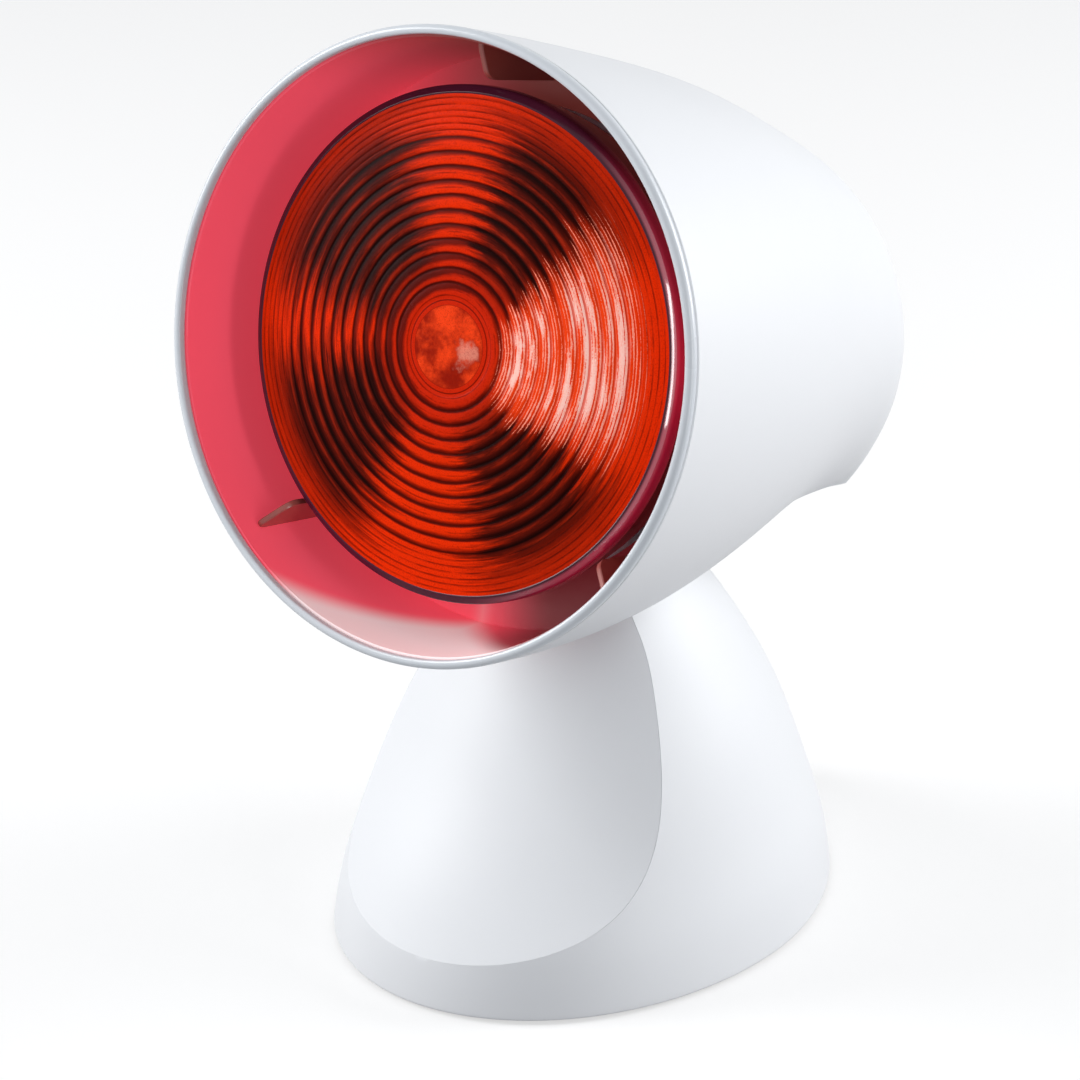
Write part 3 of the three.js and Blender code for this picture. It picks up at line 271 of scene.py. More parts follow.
# %% Head sections
rim_radius, head_length = 0.0755, 0.1746
fullness = [1, 0.982, 0.968, 1.003, 1.187, 1.554, 2.52]
sink = [0, -0.006, 0.021, 0.021, -0.051, -0.29, -0.634]
knots = np.linspace(0, 1, len(fullness))


def bell(progress, inset=0.0):
    """Station, radius and centre height of the circle at a progress of 0 at the rim to 1 at the tail."""
    turn = progress * math.pi / 2
    radius = rim_radius * np.cos(turn) * spline(knots, fullness, progress)
    centre = rim_radius * spline(knots, sink, progress)
    length = head_length - inset
    return length * np.sin(turn), np.maximum(radius * (1 - inset / rim_radius), 0), centre


def bell_progress(station):
    """The progress of the outer face's circle at a station: the arc sine of its share of the length."""
    return 2 / math.pi * np.arcsin(np.asarray(station) / head_length)


def bell_at(station, inset=0.0):
    """Radius and centre height of the bell's circle at a station behind the rim."""
    _, radius, centre = bell(bell_progress(station), inset)
    return radius, centre


def ring_rows(stations, radii, centres, columns=288):
    """Rows of points on circles: cosine across and sine up, about each centre."""
    angle = np.linspace(0, 2 * math.pi, columns, endpoint=False)
    s, r, c = (np.asarray(v, dtype=float)[:, None] for v in (stations, radii, centres))
    return from_head(r * np.cos(angle), s + 0 * angle, c + r * np.sin(angle))


print("bell radius 0.1 behind the rim:", bell_at(0.1)[0].round(4))

# %% [markdown]
# ## The white head shell
#
# The shell is one closed skin that runs from the inside of the tail forward, round the lip and back to
# the outside of the tail. Solidify could give the wall too, but a profile draws the lip as well.

# %% Head shell
shell_wall = 0.0021
lip_station, lip_round = 0.0029, 0.0004
lip_radius, lip_centre = bell_at(lip_station)
progress = np.linspace(float(bell_progress(lip_station + lip_round)), 1, 130)
lip_turn = np.linspace(0, math.pi, 7)
lip = (
    lip_station + lip_round - lip_round * np.sin(lip_turn),
    lip_radius - shell_wall / 2 - (shell_wall / 2) * np.cos(lip_turn),
    np.full(len(lip_turn), lip_centre),
)
sections = zip(bell(progress[::-1], shell_wall), lip, bell(progress))
head_shell = capped("head_bell", ring_rows(*[np.concatenate(parts) for parts in sections]))

# %% [markdown]
# ## The head's mouth
#
# The head straddles the neck and tilts on it, so its underside is open. A real shell would be moulded
# with that opening. Here a prism with rounded corners, upright under the head, cuts it out.


# %% Mouth
def rounded_outline(half_x, y_front, y_rear, corner, steps=10):
    """A rectangle in x and y whose corners are quarter circles."""
    arc = np.linspace(0, math.pi / 2, steps)
    corners = [
        (half_x - corner, y_rear - corner, 0.0), (-half_x + corner, y_rear - corner, 0.5),
        (-half_x + corner, y_front + corner, 1.0), (half_x - corner, y_front + corner, 1.5),
    ]
    return np.vstack([
        np.column_stack([x + corner * np.cos(arc + k * math.pi), y + corner * np.sin(arc + k * math.pi)])
        for x, y, k in corners
    ])


def prism(name, outline, low, high):
    """A closed prism over an outline of x and y, between two heights."""
    middle = outline.mean(axis=0)
    levels = [(middle, low), (outline, low), (outline, high), (middle, high)]
    rows = [stacked(*np.broadcast_to(xy, outline.shape).T, z) for xy, z in levels]
    return capped(name, np.array(rows))


mouth_half_width, mouth_corner = 0.0245, 0.006
mouth_before_hinge, mouth_behind_hinge = 0.046, 0.082
mouth_low, mouth_high = 0.06, 0.126
mouth_outline = rounded_outline(
    mouth_half_width, hinge[1] - mouth_before_hinge, hinge[1] + mouth_behind_hinge, mouth_corner
)
cut(head_shell, prism("mouth", mouth_outline, mouth_low, mouth_high))
assign(head_shell, "head", "head_shell", "housing_white")
print("head shell faces:", len(head_shell.data.polygons))

# %% [markdown]
# ## Turned pieces about the head's axis
#
# The ring, the lens, the glass and the lampholder are all turned shapes. A profile of radius and
# station goes round the axis. A profile that starts and ends on the axis closes at its poles, and one
# that comes back to its start closes on itself.


# %% Turned pieces
def rounded_profile(corners, radius, steps=5):
    """A closed profile with each corner swapped for a quadratic curve from a radius before to one after."""
    corners = np.asarray(corners, dtype=float)
    before, after = np.roll(corners, 1, axis=0), np.roll(corners, -1, axis=0)
    t = np.linspace(0, 1, steps)[:, None]
    pieces = []
    for a, b, c in zip(before, corners, after):
        into = b + (a - b) * min(radius / np.linalg.norm(a - b), 0.45)
        out = b + (c - b) * min(radius / np.linalg.norm(c - b), 0.45)
        pieces.append((1 - t) ** 2 * into + 2 * t * (1 - t) * b + t**2 * out)
    return np.vstack(pieces)


def turned_rows(profile, columns):
    """The profile's radius and station carried round the head's axis."""
    return ring_rows(profile[:, 1], profile[:, 0], np.zeros(len(profile)), columns)


def turned_ring(name, profile, columns=288, sharp=40.0):
    """A ring about the head's axis from a profile of radius and station that closes on itself."""
    return closed_ring(name, turned_rows(np.vstack([profile, profile[:1]]), columns), sharp)


# %% [markdown]
# ## The rim ring
#
# A pale ring closes the bell at the front, with a hairline gap behind it. The gap and the other white
# read as a separate moulding, so it is one here, with a highlight on its rounded crest.

# %% Rim ring
ring_inner, ring_crest, ring_depth, ring_round = 0.0732, 0.0745, 0.0025, 0.0006
ring_corners = [
    (ring_inner, 0.0003), (ring_crest, 0.0), (rim_radius, 0.0009),
    (rim_radius, ring_depth), (ring_inner, ring_depth),
]
rim_ring = turned_ring("rim_ring", rounded_profile(ring_corners, ring_round))
assign(rim_ring, "head", "front_ring", "rim_grey")

# %% [markdown]
# ## The liner
#
# The liner is the thin shade inside the head, painted crimson with the bulb's light. It sits just inside the
# ring and is the bell's own formula, drawn in, so that it runs parallel to the shell. Its front edge is a
# small half circle.

# %% Liner
liner_front, liner_back, liner_edge = 0.0028, 0.0460, 0.0002
liner_inset, liner_wall = 0.0018, 0.0009
stations = np.linspace(liner_front, liner_back, 70)
outer_radius, outer_centre = bell_at(stations, liner_inset)
inner_radius, inner_centre = bell_at(stations, liner_inset + liner_wall)
edge_turn = np.linspace(0, math.pi, 7)[1:-1]
edge_middle, edge_half = (outer_radius[0] + inner_radius[0]) / 2, (outer_radius[0] - inner_radius[0]) / 2
liner_section = [
    (stations, stations[:0:-1], liner_front - liner_edge * np.sin(edge_turn), stations[:1]),
    (inner_radius, outer_radius[:0:-1], edge_middle + edge_half * np.cos(edge_turn), inner_radius[:1]),
    (inner_centre, outer_centre[:0:-1], np.zeros(len(edge_turn)), inner_centre[:1]),
]
liner = closed_ring("liner", ring_rows(*[np.concatenate(parts) for parts in liner_section]))
assign(liner, "head", "inner_shade", "shade_red")

# %% [markdown]
# ## The liner's floor
#
# Behind the bulb's shoulder the liner turns inwards, so nothing of the white shell shows past the
# lens. It is a flat ring with a rounded inner edge, a little inside the liner's back end.

# %% Liner floor
floor_station, floor_wall, floor_lap = 0.0400, 0.0014, 0.0006
floor_edge, floor_outer_edge = (0.0576, 0.0578, 0.0584), 0.0001
floor_radius, floor_centre = (float(v) for v in bell_at(floor_station, liner_inset + liner_wall))
floor_section = np.array([
    (floor_edge[0], floor_wall / 2, 0.0), (floor_edge[1], floor_outer_edge, 0.0), (floor_edge[2], 0.0, 0.0),
    (floor_radius + floor_lap, 0.0, floor_centre), (floor_radius + floor_lap, floor_wall, floor_centre),
    (floor_edge[2], floor_wall, 0.0), (floor_edge[1], floor_wall - floor_outer_edge, 0.0),
    (floor_edge[0], floor_wall / 2, 0.0),
])
radii, depths, centres = floor_section.T
liner_floor = closed_ring("liner_floor", ring_rows(floor_station + depths, radii, centres))
assign(liner_floor, "head", "inner_shade", "shade_red")

# %% [markdown]
# ## Ribs that centre the bulb
#
# Three thin fins stand out of the liner and keep the bulb in the middle. Each is a flat outline in the
# plane of the axis, with a rounded front corner, given its thickness across that plane.

# %% Ribs
fin_outline = [(0.0080, 0.0728), (0.0135, 0.0634), (0.0455, 0.0634), (0.0455, 0.0700)]
fin_thickness, fin_round = 0.0015, 0.0030
fin_angles = (91, 229, 320)


def fin(name, angle):
    """A plate at an angle round the axis: its outline of station and radius, drawn in at both faces."""
    outline = rounded_profile(fin_outline, fin_round, 8)
    middle = outline.mean(axis=0)
    sides = np.array([-0.5, -0.5, -0.32, 0.32, 0.5, 0.5]) * fin_thickness
    shrink = np.array([0.0, 0.985, 1.0, 1.0, 0.985, 0.0])
    flat = middle + (outline - middle)[None] * shrink[:, None, None]
    s, r, w = flat[..., 0], flat[..., 1], sides[:, None]
    x = r * math.cos(angle) - w * math.sin(angle)
    c = r * math.sin(angle) + w * math.cos(angle)
    return assign(capped(name, from_head(x, s, c), sharp=30), "head", "inner_shade", "shade_red")


fins = [fin(f"centring_fin_{k}", math.radians(angle)) for k, angle in enumerate(fin_angles)]

# %% [markdown]
# ## The ruby lens
#
# The face of the bulb is pressed glass with rings that spread the light. A bump map could fake them, but
# the rings are real ridges here, so that they catch the lamps: broad rounded bands with narrow grooves
# between, and finer ones near the edge. A smooth disc sits in the middle.

# %% Lens profile
lens_radius, lens_rim, lens_setback, lens_crown = 0.0600, 0.0596, 0.0155, 0.0040
disc_radius, fine_from = 0.0118, 0.0494
broad_pitch, fine_pitch, ridge_height = 0.00342, 0.00150, 0.00018


def lens_face(radius):
    """Station of the lens's face: a shallow crown less a ridge, whose height is a root of a sine."""
    crown = lens_setback - lens_crown * (1 - (radius / lens_radius) ** 2)
    broad = np.abs(np.sin(math.pi * (radius - disc_radius) / broad_pitch)) ** 0.5
    fine = np.abs(np.sin(math.pi * (radius - fine_from) / fine_pitch)) ** 0.6
    ridge = np.where(radius < disc_radius, 0.4, np.where(radius < fine_from, 1.3 * broad, 0.55 * fine))
    return crown - ridge_height * ridge


face_radius = np.concatenate([np.linspace(0, disc_radius, 20), np.linspace(disc_radius, lens_rim, 200)[1:]])
lens_back = [(0.0588, lens_setback + 0.0030), (0.030, lens_setback + 0.0010), (0.0, lens_setback - 0.0010)]
lens_profile = np.vstack([np.column_stack([face_radius, lens_face(face_radius)]), lens_back])
assign(capped("lens_disc", turned_rows(lens_profile, 288), 70), "head", "bulb_lens", "lens_red")

# %% [markdown]
# ## The lens's rolled edge
#
# Where the face meets the side, the glass rolls over in a small arc, a flat facet and a larger arc. The
# facet turns 30 degrees, which is the slope that mirrors a lamp in front, so a thin bright line runs
# along it at the right, as in the photo.

# %% Lens edge
facet_turn = math.radians(30)
front_radius, front_round, front_setback = 0.0598, 0.0005, 0.0003
side_radius, side_round, side_setback = 0.0617, 0.0012, 0.0015
front_turn, side_turn = np.linspace(0, facet_turn, 7), np.linspace(math.pi / 2 - facet_turn, 0, 10)
front_roll = np.column_stack([
    front_radius + front_round * np.sin(front_turn),
    lens_setback + front_setback - front_round * np.cos(front_turn),
])
side_roll = np.column_stack([
    side_radius - side_round * (1 - np.cos(side_turn)),
    lens_setback + side_setback - side_round * np.sin(side_turn),
])
inner_lip = [(0.0591, lens_setback + 0.0008), (0.0594, lens_setback - 0.0001)]
far_side = [(side_radius, 0.0195), (0.0613, 0.0207), (0.0580, 0.0207), (0.0582, lens_setback + 0.0026)]
rolled_edge = np.vstack([inner_lip, front_roll, side_roll, far_side])
lens_edge = assign(turned_ring("lens_edge", rolled_edge, sharp=60), "head", "bulb_lens", "lens_red")

# %% [markdown]
# ## The bulb behind the lens
#
# The photo doesn't show the bulb behind its face, and only the mouth lets one see it from below. Such
# bulbs narrow to a neck in a mirror-backed curve. That curve is a guess at eight places, and a moving
# mean smooths it.

# %% Bulb body
reflector_start, reflector_length, reflector_radius = 0.0208, 0.0989, 0.061
reflector_shares = [0, 0.08, 0.21, 0.39, 0.58, 0.72, 0.82, 1]
radius_shares = [1, 0.985, 0.92, 0.76, 0.56, 0.41, 0.32, 0.295]
glass_wall, window, end_share = 0.0018, 7, 0.06
along = np.linspace(0, 1, 60)
straight = reflector_radius * np.interp(along, reflector_shares, radius_shares)
smooth = np.convolve(straight, np.ones(window) / window, "same")
radii = np.where((along > end_share) & (along < 1 - end_share), smooth, straight)
glass_out = np.column_stack([radii, reflector_start + along * reflector_length])
glass_in = glass_out[::-1] - np.array([glass_wall, 0.0])
reflector = turned_ring("reflector_glass", np.vstack([glass_out, glass_in]), 144)
assign(reflector, "head", "bulb_reflector", "mirror_glass")

# %% [markdown]
# ## Screw cap and porcelain holder
#
# Such a bulb has a screw cap in a porcelain holder, and both are hidden, so their form is the usual one.
# The thread is drawn as rings, a cosine along the profile, because a helix would look the same at this
# size and cost more faces. The holder is a cup with rounded corners.

# %% Cap and holder
cap_start, cap_end, thread_radius, thread_depth, thread_turns = 0.1200, 0.1418, 0.0132, 0.00045, 4
thread_start = cap_start + 0.005
thread = np.linspace(0, 1, 60)
thread_profile = np.column_stack([
    thread_radius - thread_depth * (1 - np.cos(2 * math.pi * thread_turns * thread)),
    thread_start + thread * (cap_end - thread_start),
])
cap_profile = np.vstack([
    [(0.0184, cap_start), (0.0192, cap_start + 0.0004)],
    [(0.0192, cap_start + 0.0018), (0.0140, cap_start + 0.0042)],
    thread_profile,
    [(0.0114, cap_end), (0.0114, thread_start), (0.0180, cap_start + 0.0012)],
])
assign(turned_ring("screw_cap", cap_profile, 96), "head", "bulb_cap", "brass")

holder_front, holder_rear, holder_radius, bore, holder_floor = 0.1252, 0.1542, 0.0195, 0.0146, 0.0034
holder_profile = rounded_profile([
    (bore, holder_front), (0.0186, holder_front), (holder_radius, holder_front + 0.002),
    (holder_radius, holder_rear), (0.0020, holder_rear),
    (0.0020, holder_rear - holder_floor), (bore, holder_rear - holder_floor),
], 0.0008)
holder = turned_ring("porcelain_holder", holder_profile, 96)
assign(holder, "head", "lampholder", "ceramic_white")

# %% [markdown]
# ## The stand's two forms
#
# The stand is an oval cone cut by a round nosed front. At each height the oval and the nose circle meet
# at one angle to each side, and those angles draw the seam between the shell and the front panel. A
# boolean would leave a ragged crease, so the grid has a column exactly on that angle instead.


# %% Stand sections
def metres(*millimetres):
    """Millimetres as metres."""
    return np.array(millimetres) / 1000


oval_middle, stand_shift = 0.002, -0.005992
middle_y = oval_middle + stand_shift
oval_ratio = 77.4 / 60.3
oval_height = metres(0, 14.5, 29, 43.5, 58, 72, 86, 97, 106, 132)
oval_width = metres(60.2, 58.1, 54.1, 49.6, 44.1, 37.2, 29.0, 22.7, 21.8, 21.8)
front_power, rear_power = 2.0, 1.86
foot_low, foot_edge = 0.0010, 0.0006
nose_height = metres(0, 7.95, 13.25, 18.8, 23.0, 35, 50, 60, 77, 90, 106, 132)
nose_front = metres(-87.5, -80.0, -73.3, -66.1, -61.0, -49.5, -40.0, -34.9, -26.4, -20.5, -13.9, -7.7)
nose_radius = metres(65.7, 65.6, 66.6, 68.2, 69.4, 72.0, 70.7, 66.2, 53.0, 41.0, 30.2, 20.5)


def oval_half_width(height):
    """Half width of the oval: a spline, drawn in by a small quarter circle at the foot's edge."""
    above = np.clip((height - foot_low) / foot_edge, 0, 1)
    return spline(oval_height, oval_width, height) - foot_edge * (1 - np.sqrt(1 - (1 - above) ** 2))


def oval_reach(angle, height):
    """Distance from the oval's middle to its edge: a power of 2 in front, and a leaner one behind."""
    width = oval_half_width(height)
    power = np.where(np.cos(angle) < 0, rear_power, front_power)
    across, along = np.abs(np.sin(angle)) / width, np.abs(np.cos(angle)) / (oval_ratio * width)
    return (across**power + along**power) ** (-1 / power)


def nose_reach(angle, height):
    """Distance from the oval's middle to the nose circle: the far root of a quadratic."""
    radius = spline(nose_height, nose_radius, height)
    offset = spline(nose_height, nose_front, height) + radius - oval_middle
    along_ray = offset * np.cos(angle)
    return -along_ray + np.sqrt(np.maximum(along_ray**2 - offset**2 + radius**2, 0))


def seam_angle(height):
    """Angle from the front where the two reaches are equal, found on a fine table, or zero."""
    angle = np.linspace(0, math.radians(115), 2300)
    ahead = oval_reach(angle[None], height[:, None]) - nose_reach(angle[None], height[:, None])
    first = np.argmax(ahead < 0, axis=1)
    row = np.arange(len(height))
    low, high = ahead[row, np.maximum(first - 1, 0)], ahead[row, first]
    share = np.where(low > high, low / np.maximum(low - high, 1e-12), 0)
    found = angle[np.maximum(first - 1, 0)] + share * (angle[1] - angle[0])
    return np.where(ahead[:, 0] > 0, found, 0.0)


def stand_points(angle, height, reach):
    """Points at a reach from the oval's middle: sine across, cosine towards the front."""
    return stacked(reach * np.sin(angle), middle_y - reach * np.cos(angle), height)


lowest = np.linspace(0.009, 0.018, 400)
seam_bottom = float(lowest[np.argmax(oval_reach(0.0, lowest) > nose_reach(0.0, lowest))])
print("seam starts at", round(seam_bottom * 1000, 2), "mm")

# %% [markdown]
# ## The stand's shell
#
# Rows run from the floor edge up to the neck. Below the seam a row goes all the way round; above it,
# from one side of the panel to the other. The rows crowd towards the bottom of the seam, because the
# seam opens there like a square root.

# %% Stand shell skin
neck_top, half_gap = 0.0934, 0.00006
foot_rows = [foot_low, 0.00105, 0.0012, 0.0014, 0.0016, *np.linspace(0.0024, seam_bottom, 12)[:-1]]
seam_rows = seam_bottom + (neck_top - seam_bottom) * np.linspace(0, 1, 150) ** 1.7
heights = np.concatenate([foot_rows, seam_rows])
opening = seam_angle(heights)
opening = np.where(heights > seam_bottom, opening + half_gap / oval_reach(opening, heights), 0.0)
round_share = np.linspace(0, 1, 281)
angles = opening[:, None] + round_share[None] * (2 * math.pi - 2 * opening[:, None])
rows = stand_points(angles, heights[:, None], oval_reach(angles, heights[:, None]))
index = numbered(rows)
index[: len(foot_rows) + 1, -1] = index[: len(foot_rows) + 1, 0]
stand_skin = grid_piece("stand_skin", rows, index, wrap=False, inside=(0, middle_y, 0.04))
thicken(stand_skin, shell_wall)

# %% [markdown]
# ## The front panel
#
# The panel fills the opening with the nose circle's surface, up to the neck. The seam in the photo reads
# as the joint of two mouldings, so the panel is its own piece, and a hairline gap all round draws it.

# %% Front panel skin
panel_top, panel_wall, least_half = 0.0930, 0.0018, 0.004
panel_rows = seam_rows[seam_rows < panel_top]
panel_half = seam_angle(panel_rows)
panel_half = panel_half - half_gap / nose_reach(panel_half, panel_rows)
panel_rows, panel_half = panel_rows[panel_half > least_half], panel_half[panel_half > least_half]
angles = np.linspace(-1, 1, 161)[None] * panel_half[:, None]
rows = stand_points(angles, panel_rows[:, None], nose_reach(angles, panel_rows[:, None]))
front_panel = grid_piece("leaning_panel", rows, numbered(rows), wrap=False, inside=(0, 0.03, 0.04))
thicken(front_panel, panel_wall)
assign(front_panel, "stand", "front_panel", "housing_white")

# %% [markdown]
# ## The neck's dome
#
# The top of the neck hides in the head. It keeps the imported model's form: a copy of the shell's mesh
# with its doubles merged and everything below the neck cut away.

# %% Neck dome
dome_foot = 0.0932
dome_mesh = bmesh.new()
dome_mesh.from_mesh(nodes["stand_shell"].data)
bmesh.ops.remove_doubles(dome_mesh, verts=dome_mesh.verts, dist=1e-6)
everything = dome_mesh.verts[:] + dome_mesh.edges[:] + dome_mesh.faces[:]
bmesh.ops.bisect_plane(
    dome_mesh, geom=everything, plane_co=(0, 0, dome_foot), plane_no=(0, 0, -1), clear_outer=True, dist=1e-7
)
dome_data = bpy.data.meshes.new("neck_dome")
dome_mesh.to_mesh(dome_data)
dome_mesh.free()
shade_smooth(dome_data, 30)
assign(link_piece("neck_dome", dome_data), "stand", "stand_shell", "housing_white")
print("dome faces:", len(dome_data.polygons))

# %% [markdown]
# ## The switch at the back
#
# No switch is in view, so it is at the back, where such lamps have it, and of the usual kind: a frame
# round a rocker, both moulded with round corners. A loop of a rounded rectangle, carried in and out
# along the switch's own axis, gives the frame, its well and its back in one skin.

# %% Switch frame
rocker_pivot = np.array([0.0, 0.061581, 0.036])
wall_low, wall_high = 0.0255, 0.0465
wall_drawn_in = oval_half_width(np.array(wall_low)) - oval_half_width(np.array(wall_high))
switch_lean = math.atan2(oval_ratio * wall_drawn_in, wall_high - wall_low)


def from_switch(x, out, up):
    """Points of the switch's plane in the lamp's frame: out leans back with the wall."""
    y, z = turned(out, up, -switch_lean)
    return stacked(x, rocker_pivot[1] + y, rocker_pivot[2] + z)


def nested(name, levels):
    """A closed skin through rounded rectangles: half x, half up, corner and out of each, in millimetres."""
    levels = metres(*levels)
    loops = [rounded_outline(half_x, -half_up, half_up, corner, 8) for half_x, half_up, corner, _ in levels]
    middle, outs = np.zeros_like(loops[0]), levels[:, 3]
    both = zip([middle, *loops, middle], [outs[0], *outs, outs[-1]])
    return capped(name, np.array([from_switch(loop[:, 0], out, loop[:, 1]) for loop, out in both]))


switch_frame = nested("switch_frame", [
    (6.2, 9.2, 0.6, -15), (6.4, 9.4, 0.8, -14.8), (6.4, 9.4, 0.8, 1.2),
    (7.2, 10.2, 1.2, 1.2), (7.5, 10.5, 1.4, 1.5), (7.5, 10.5, 1.4, 2.1),
    (7.3, 10.3, 1.3, 2.6), (6.8, 9.8, 1.1, 2.8), (5.5, 9.3, 0.7, 2.8),
    (5.2, 9, 0.6, 2.6), (5, 8.9, 0.5, 2), (5, 8.9, 0.5, -7),
])
assign(switch_frame, "stand", "switch_housing", "black_plastic")

# %% [markdown]
# ## The rocker
#
# The rocker is a dished cap on a pivot, tipped by half its throw at rest. Its section is a parabola
# above and one below, carried across and drawn in a little at both ends, like a moulding's draft.

# %% Rocker
rocker_half, rocker_lean, rocker_round = 0.0075, math.radians(8.0), 0.0005
rocker_face, rocker_dish, rocker_skirt, rocker_belly = 0.0017, 0.0012, 0.0021, 0.0019
rocker_turn = np.linspace(-1, 1, 33)
top_out = rocker_face + rocker_dish * rocker_turn**2
under_out = -rocker_skirt - rocker_belly * (1 - rocker_turn**2)
rocker_top = np.column_stack([top_out, rocker_half * rocker_turn])
rocker_under = np.column_stack([under_out, rocker_half * rocker_turn])[::-1]
rocker_loop = rounded_profile(np.vstack([rocker_top[::4], rocker_under[::4]]), rocker_round, 4)
rocker_middle = np.array([-0.0005, 0.0])
rocker_ends = [(-0.0047, 0.0), (-0.0047, 0.94), (-0.0045, 0.985), (-0.0042, 1)]
rocker_ends += [(-x, shrink) for x, shrink in rocker_ends[::-1]]
x, shrink = (np.array(v)[:, None] for v in zip(*rocker_ends))
out, up = np.moveaxis(rocker_middle + (rocker_loop - rocker_middle) * shrink[..., None], -1, 0)
rocker = capped("rocker_cap", from_switch(x, *turned(out, up, rocker_lean)))
assign(rocker, "switch_rocker", "rocker", "black_plastic")

# %% [markdown]
# ## The cord's gland
#
# No cord is in view either. The gland for it is a guess: black, low at the back, in a short boss. Both
# are turned about an axis that runs along y. The holes for the gland and the switch are cut into the
# shell.

# %% Gland and holes
gland_height = 0.013


def about_y(profile):
    """Rows of a turned shape about the gland's axis from a profile of radius and y."""
    r, y = np.asarray(profile, dtype=float).T[:, :, None]
    angle = np.linspace(0, 2 * math.pi, 96, endpoint=False)
    return stacked(r * np.cos(angle), y, gland_height + r * np.sin(angle))


def gland_ring(name, corners, corner_round):
    """A closed ring about the gland's axis, from its corners."""
    profile = rounded_profile(corners, corner_round)
    return closed_ring(name, about_y(np.vstack([profile, profile[:1]])))


boss_inner, gland_bore, hole_start, hole_end = 0.0053, 0.0034, 0.060, 0.090
hole_profile = [(0, hole_start), (boss_inner, hole_start), (boss_inner, hole_end), (0, hole_end)]
switch_hole = nested("switch_hole", [(6.7, 9.7, 0.8, -10), (6.7, 9.7, 0.8, 10)])
cut(stand_skin, switch_hole, capped("gland_hole", about_y(hole_profile)))
assign(stand_skin, "stand", "stand_shell", "housing_white")
print("stand skin faces:", len(stand_skin.data.polygons))

gland = gland_ring("cord_gland", [
    (gland_bore, 0.0647), (0.0050, 0.0647), (0.0050, 0.0740),
    (0.0070, 0.0740), (0.0070, 0.0765), (gland_bore, 0.0765),
], 0.0005)
assign(gland, "stand", "cable_gland", "black_plastic")
boss_corners = [(boss_inner, 0.0640), (0.0080, 0.0640), (0.0080, 0.0737), (boss_inner, 0.0737)]
assign(gland_ring("gland_boss", boss_corners, 0.0006), "stand", "stand_shell", "housing_white")

# %% [markdown]
# ## The pad round the switch
#
# The wall is curved and leans, and the switch's frame is flat, so the shell gets a raised flat pad
# there, a guess like the switch. A boolean could join the two. A skin of its own, sunk into the wall,
# looks the same and leaves the shell's grid clean.

# %% Switch pad
switch_pad = nested("switch_pad", [
    (9.5, 12.5, 1.6, -1.5), (10, 13, 2, -1), (10, 13, 2, 0.5),
    (9.8, 12.8, 1.9, 0.8), (9.4, 12.4, 1.7, 0.9), (6.6, 9.6, 0.8, 0.9),
    (6.6, 9.6, 0.8, -1.2),
])
assign(switch_pad, "stand", "stand_shell", "housing_white")

# %% [markdown]
# ## Values that run through a material
#
# A finish is a sum of many small patterns, and each step of it is a node. Wiring them one by one hides
# the formula, so a signal wraps a node's output: adding or multiplying signals adds the Math node for
# it, and the code reads like the formula of the pattern.


# %% Signals
class Signal:
    """A node's output. A sum, difference, product or quotient with it is a Math node of its tree."""

    def __init__(self, socket):
        self.socket, self.tree = socket, socket.id_data

    def math(self, operation, other=0.0):
        """The operation on this signal and another value."""
        return math_signal(self.tree, operation, self, other)

    def __add__(self, other):
        return self.math("ADD", other)

    def __sub__(self, other):
        return self.math("SUBTRACT", other)

    def __rsub__(self, other):
        return math_signal(self.tree, "SUBTRACT", other, self)

    def __mul__(self, other):
        return self.math("MULTIPLY", other)

    def __truediv__(self, other):
        return self.math("DIVIDE", other)


def feed(socket, value):
    """Links a signal to a socket, or sets a constant on it."""
    if isinstance(value, Signal):
        value.tree.links.new(value.socket, socket)
    else:
        socket.default_value = value


def wire(made, **values):
    """Feeds a node's sockets by name, with _ for a space."""
    for key, value in values.items():
        feed(made.inputs[key.replace("_", " ")], value)
    return made


def node(tree, kind, settings=(), **values):
    """A node with its own settings, and values for its sockets."""
    made = tree.nodes.new(kind)
    for key, value in dict(settings).items():
        setattr(made, key, value)
    return wire(made, **values)


def math_signal(tree, operation, first, second):
    """One Math node."""
    made = node(tree, "ShaderNodeMath", {"operation": operation})
    feed(made.inputs[0], first)
    feed(made.inputs[1], second)
    return Signal(made.outputs[0])


# %% [markdown]
# ## The patterns that finishes are made of
#
# A few shapes of signal make every finish here: noise, a smooth step up or down, a blend of two
# colours, and a bump that tilts the normal.


# %% Patterns
def noise(place, scale, detail, rough=0.5):
    """Noise read at a place, from 0 to 1."""
    made = node(place.tree, "ShaderNodeTexNoise", Vector=place, Scale=scale, Detail=detail, Roughness=rough)
    return Signal(made.outputs["Fac"])


def ramp(value, from_low, from_high, to_low=0.0, to_high=1.0, smooth=False):
    """A value carried from one range to another, along a straight line or a smooth step."""
    kind = {"interpolation_type": "SMOOTHSTEP" if smooth else "LINEAR"}
    ends = {"From_Min": from_low, "From_Max": from_high, "To_Min": to_low, "To_Max": to_high}
    return Signal(node(value.tree, "ShaderNodeMapRange", kind, Value=value, **ends).outputs[0])


def rise(value, low, high):
    """A smooth step: nought below low and one above high."""
    return ramp(value, low, high, smooth=True)


def fall(value, low, high):
    """One below low and nought above high."""
    return 1.0 - rise(value, low, high)


def mix(factor, first, second):
    """The first colour where the factor is nought, and the second where it is one."""
    made = node(factor.tree, "ShaderNodeMix", {"data_type": "RGBA"})
    feed(made.inputs[0], factor)
    for socket, colour in ((made.inputs[6], first), (made.inputs[7], second)):
        feed(socket, (*colour, 1) if isinstance(colour, tuple) else colour)
    return Signal(made.outputs[2])


def bump(height, strength, distance):
    """A normal that is tilted by the slope of a height."""
    made = node(height.tree, "ShaderNodeBump", Strength=strength, Distance=distance, Height=height)
    return Signal(made.outputs[0])


def new_material(name):
    """A material with its node tree and its shader."""
    material = bpy.data.materials.new(name)
    material.use_nodes = True
    return material, material.node_tree, material.node_tree.nodes["Principled BSDF"]


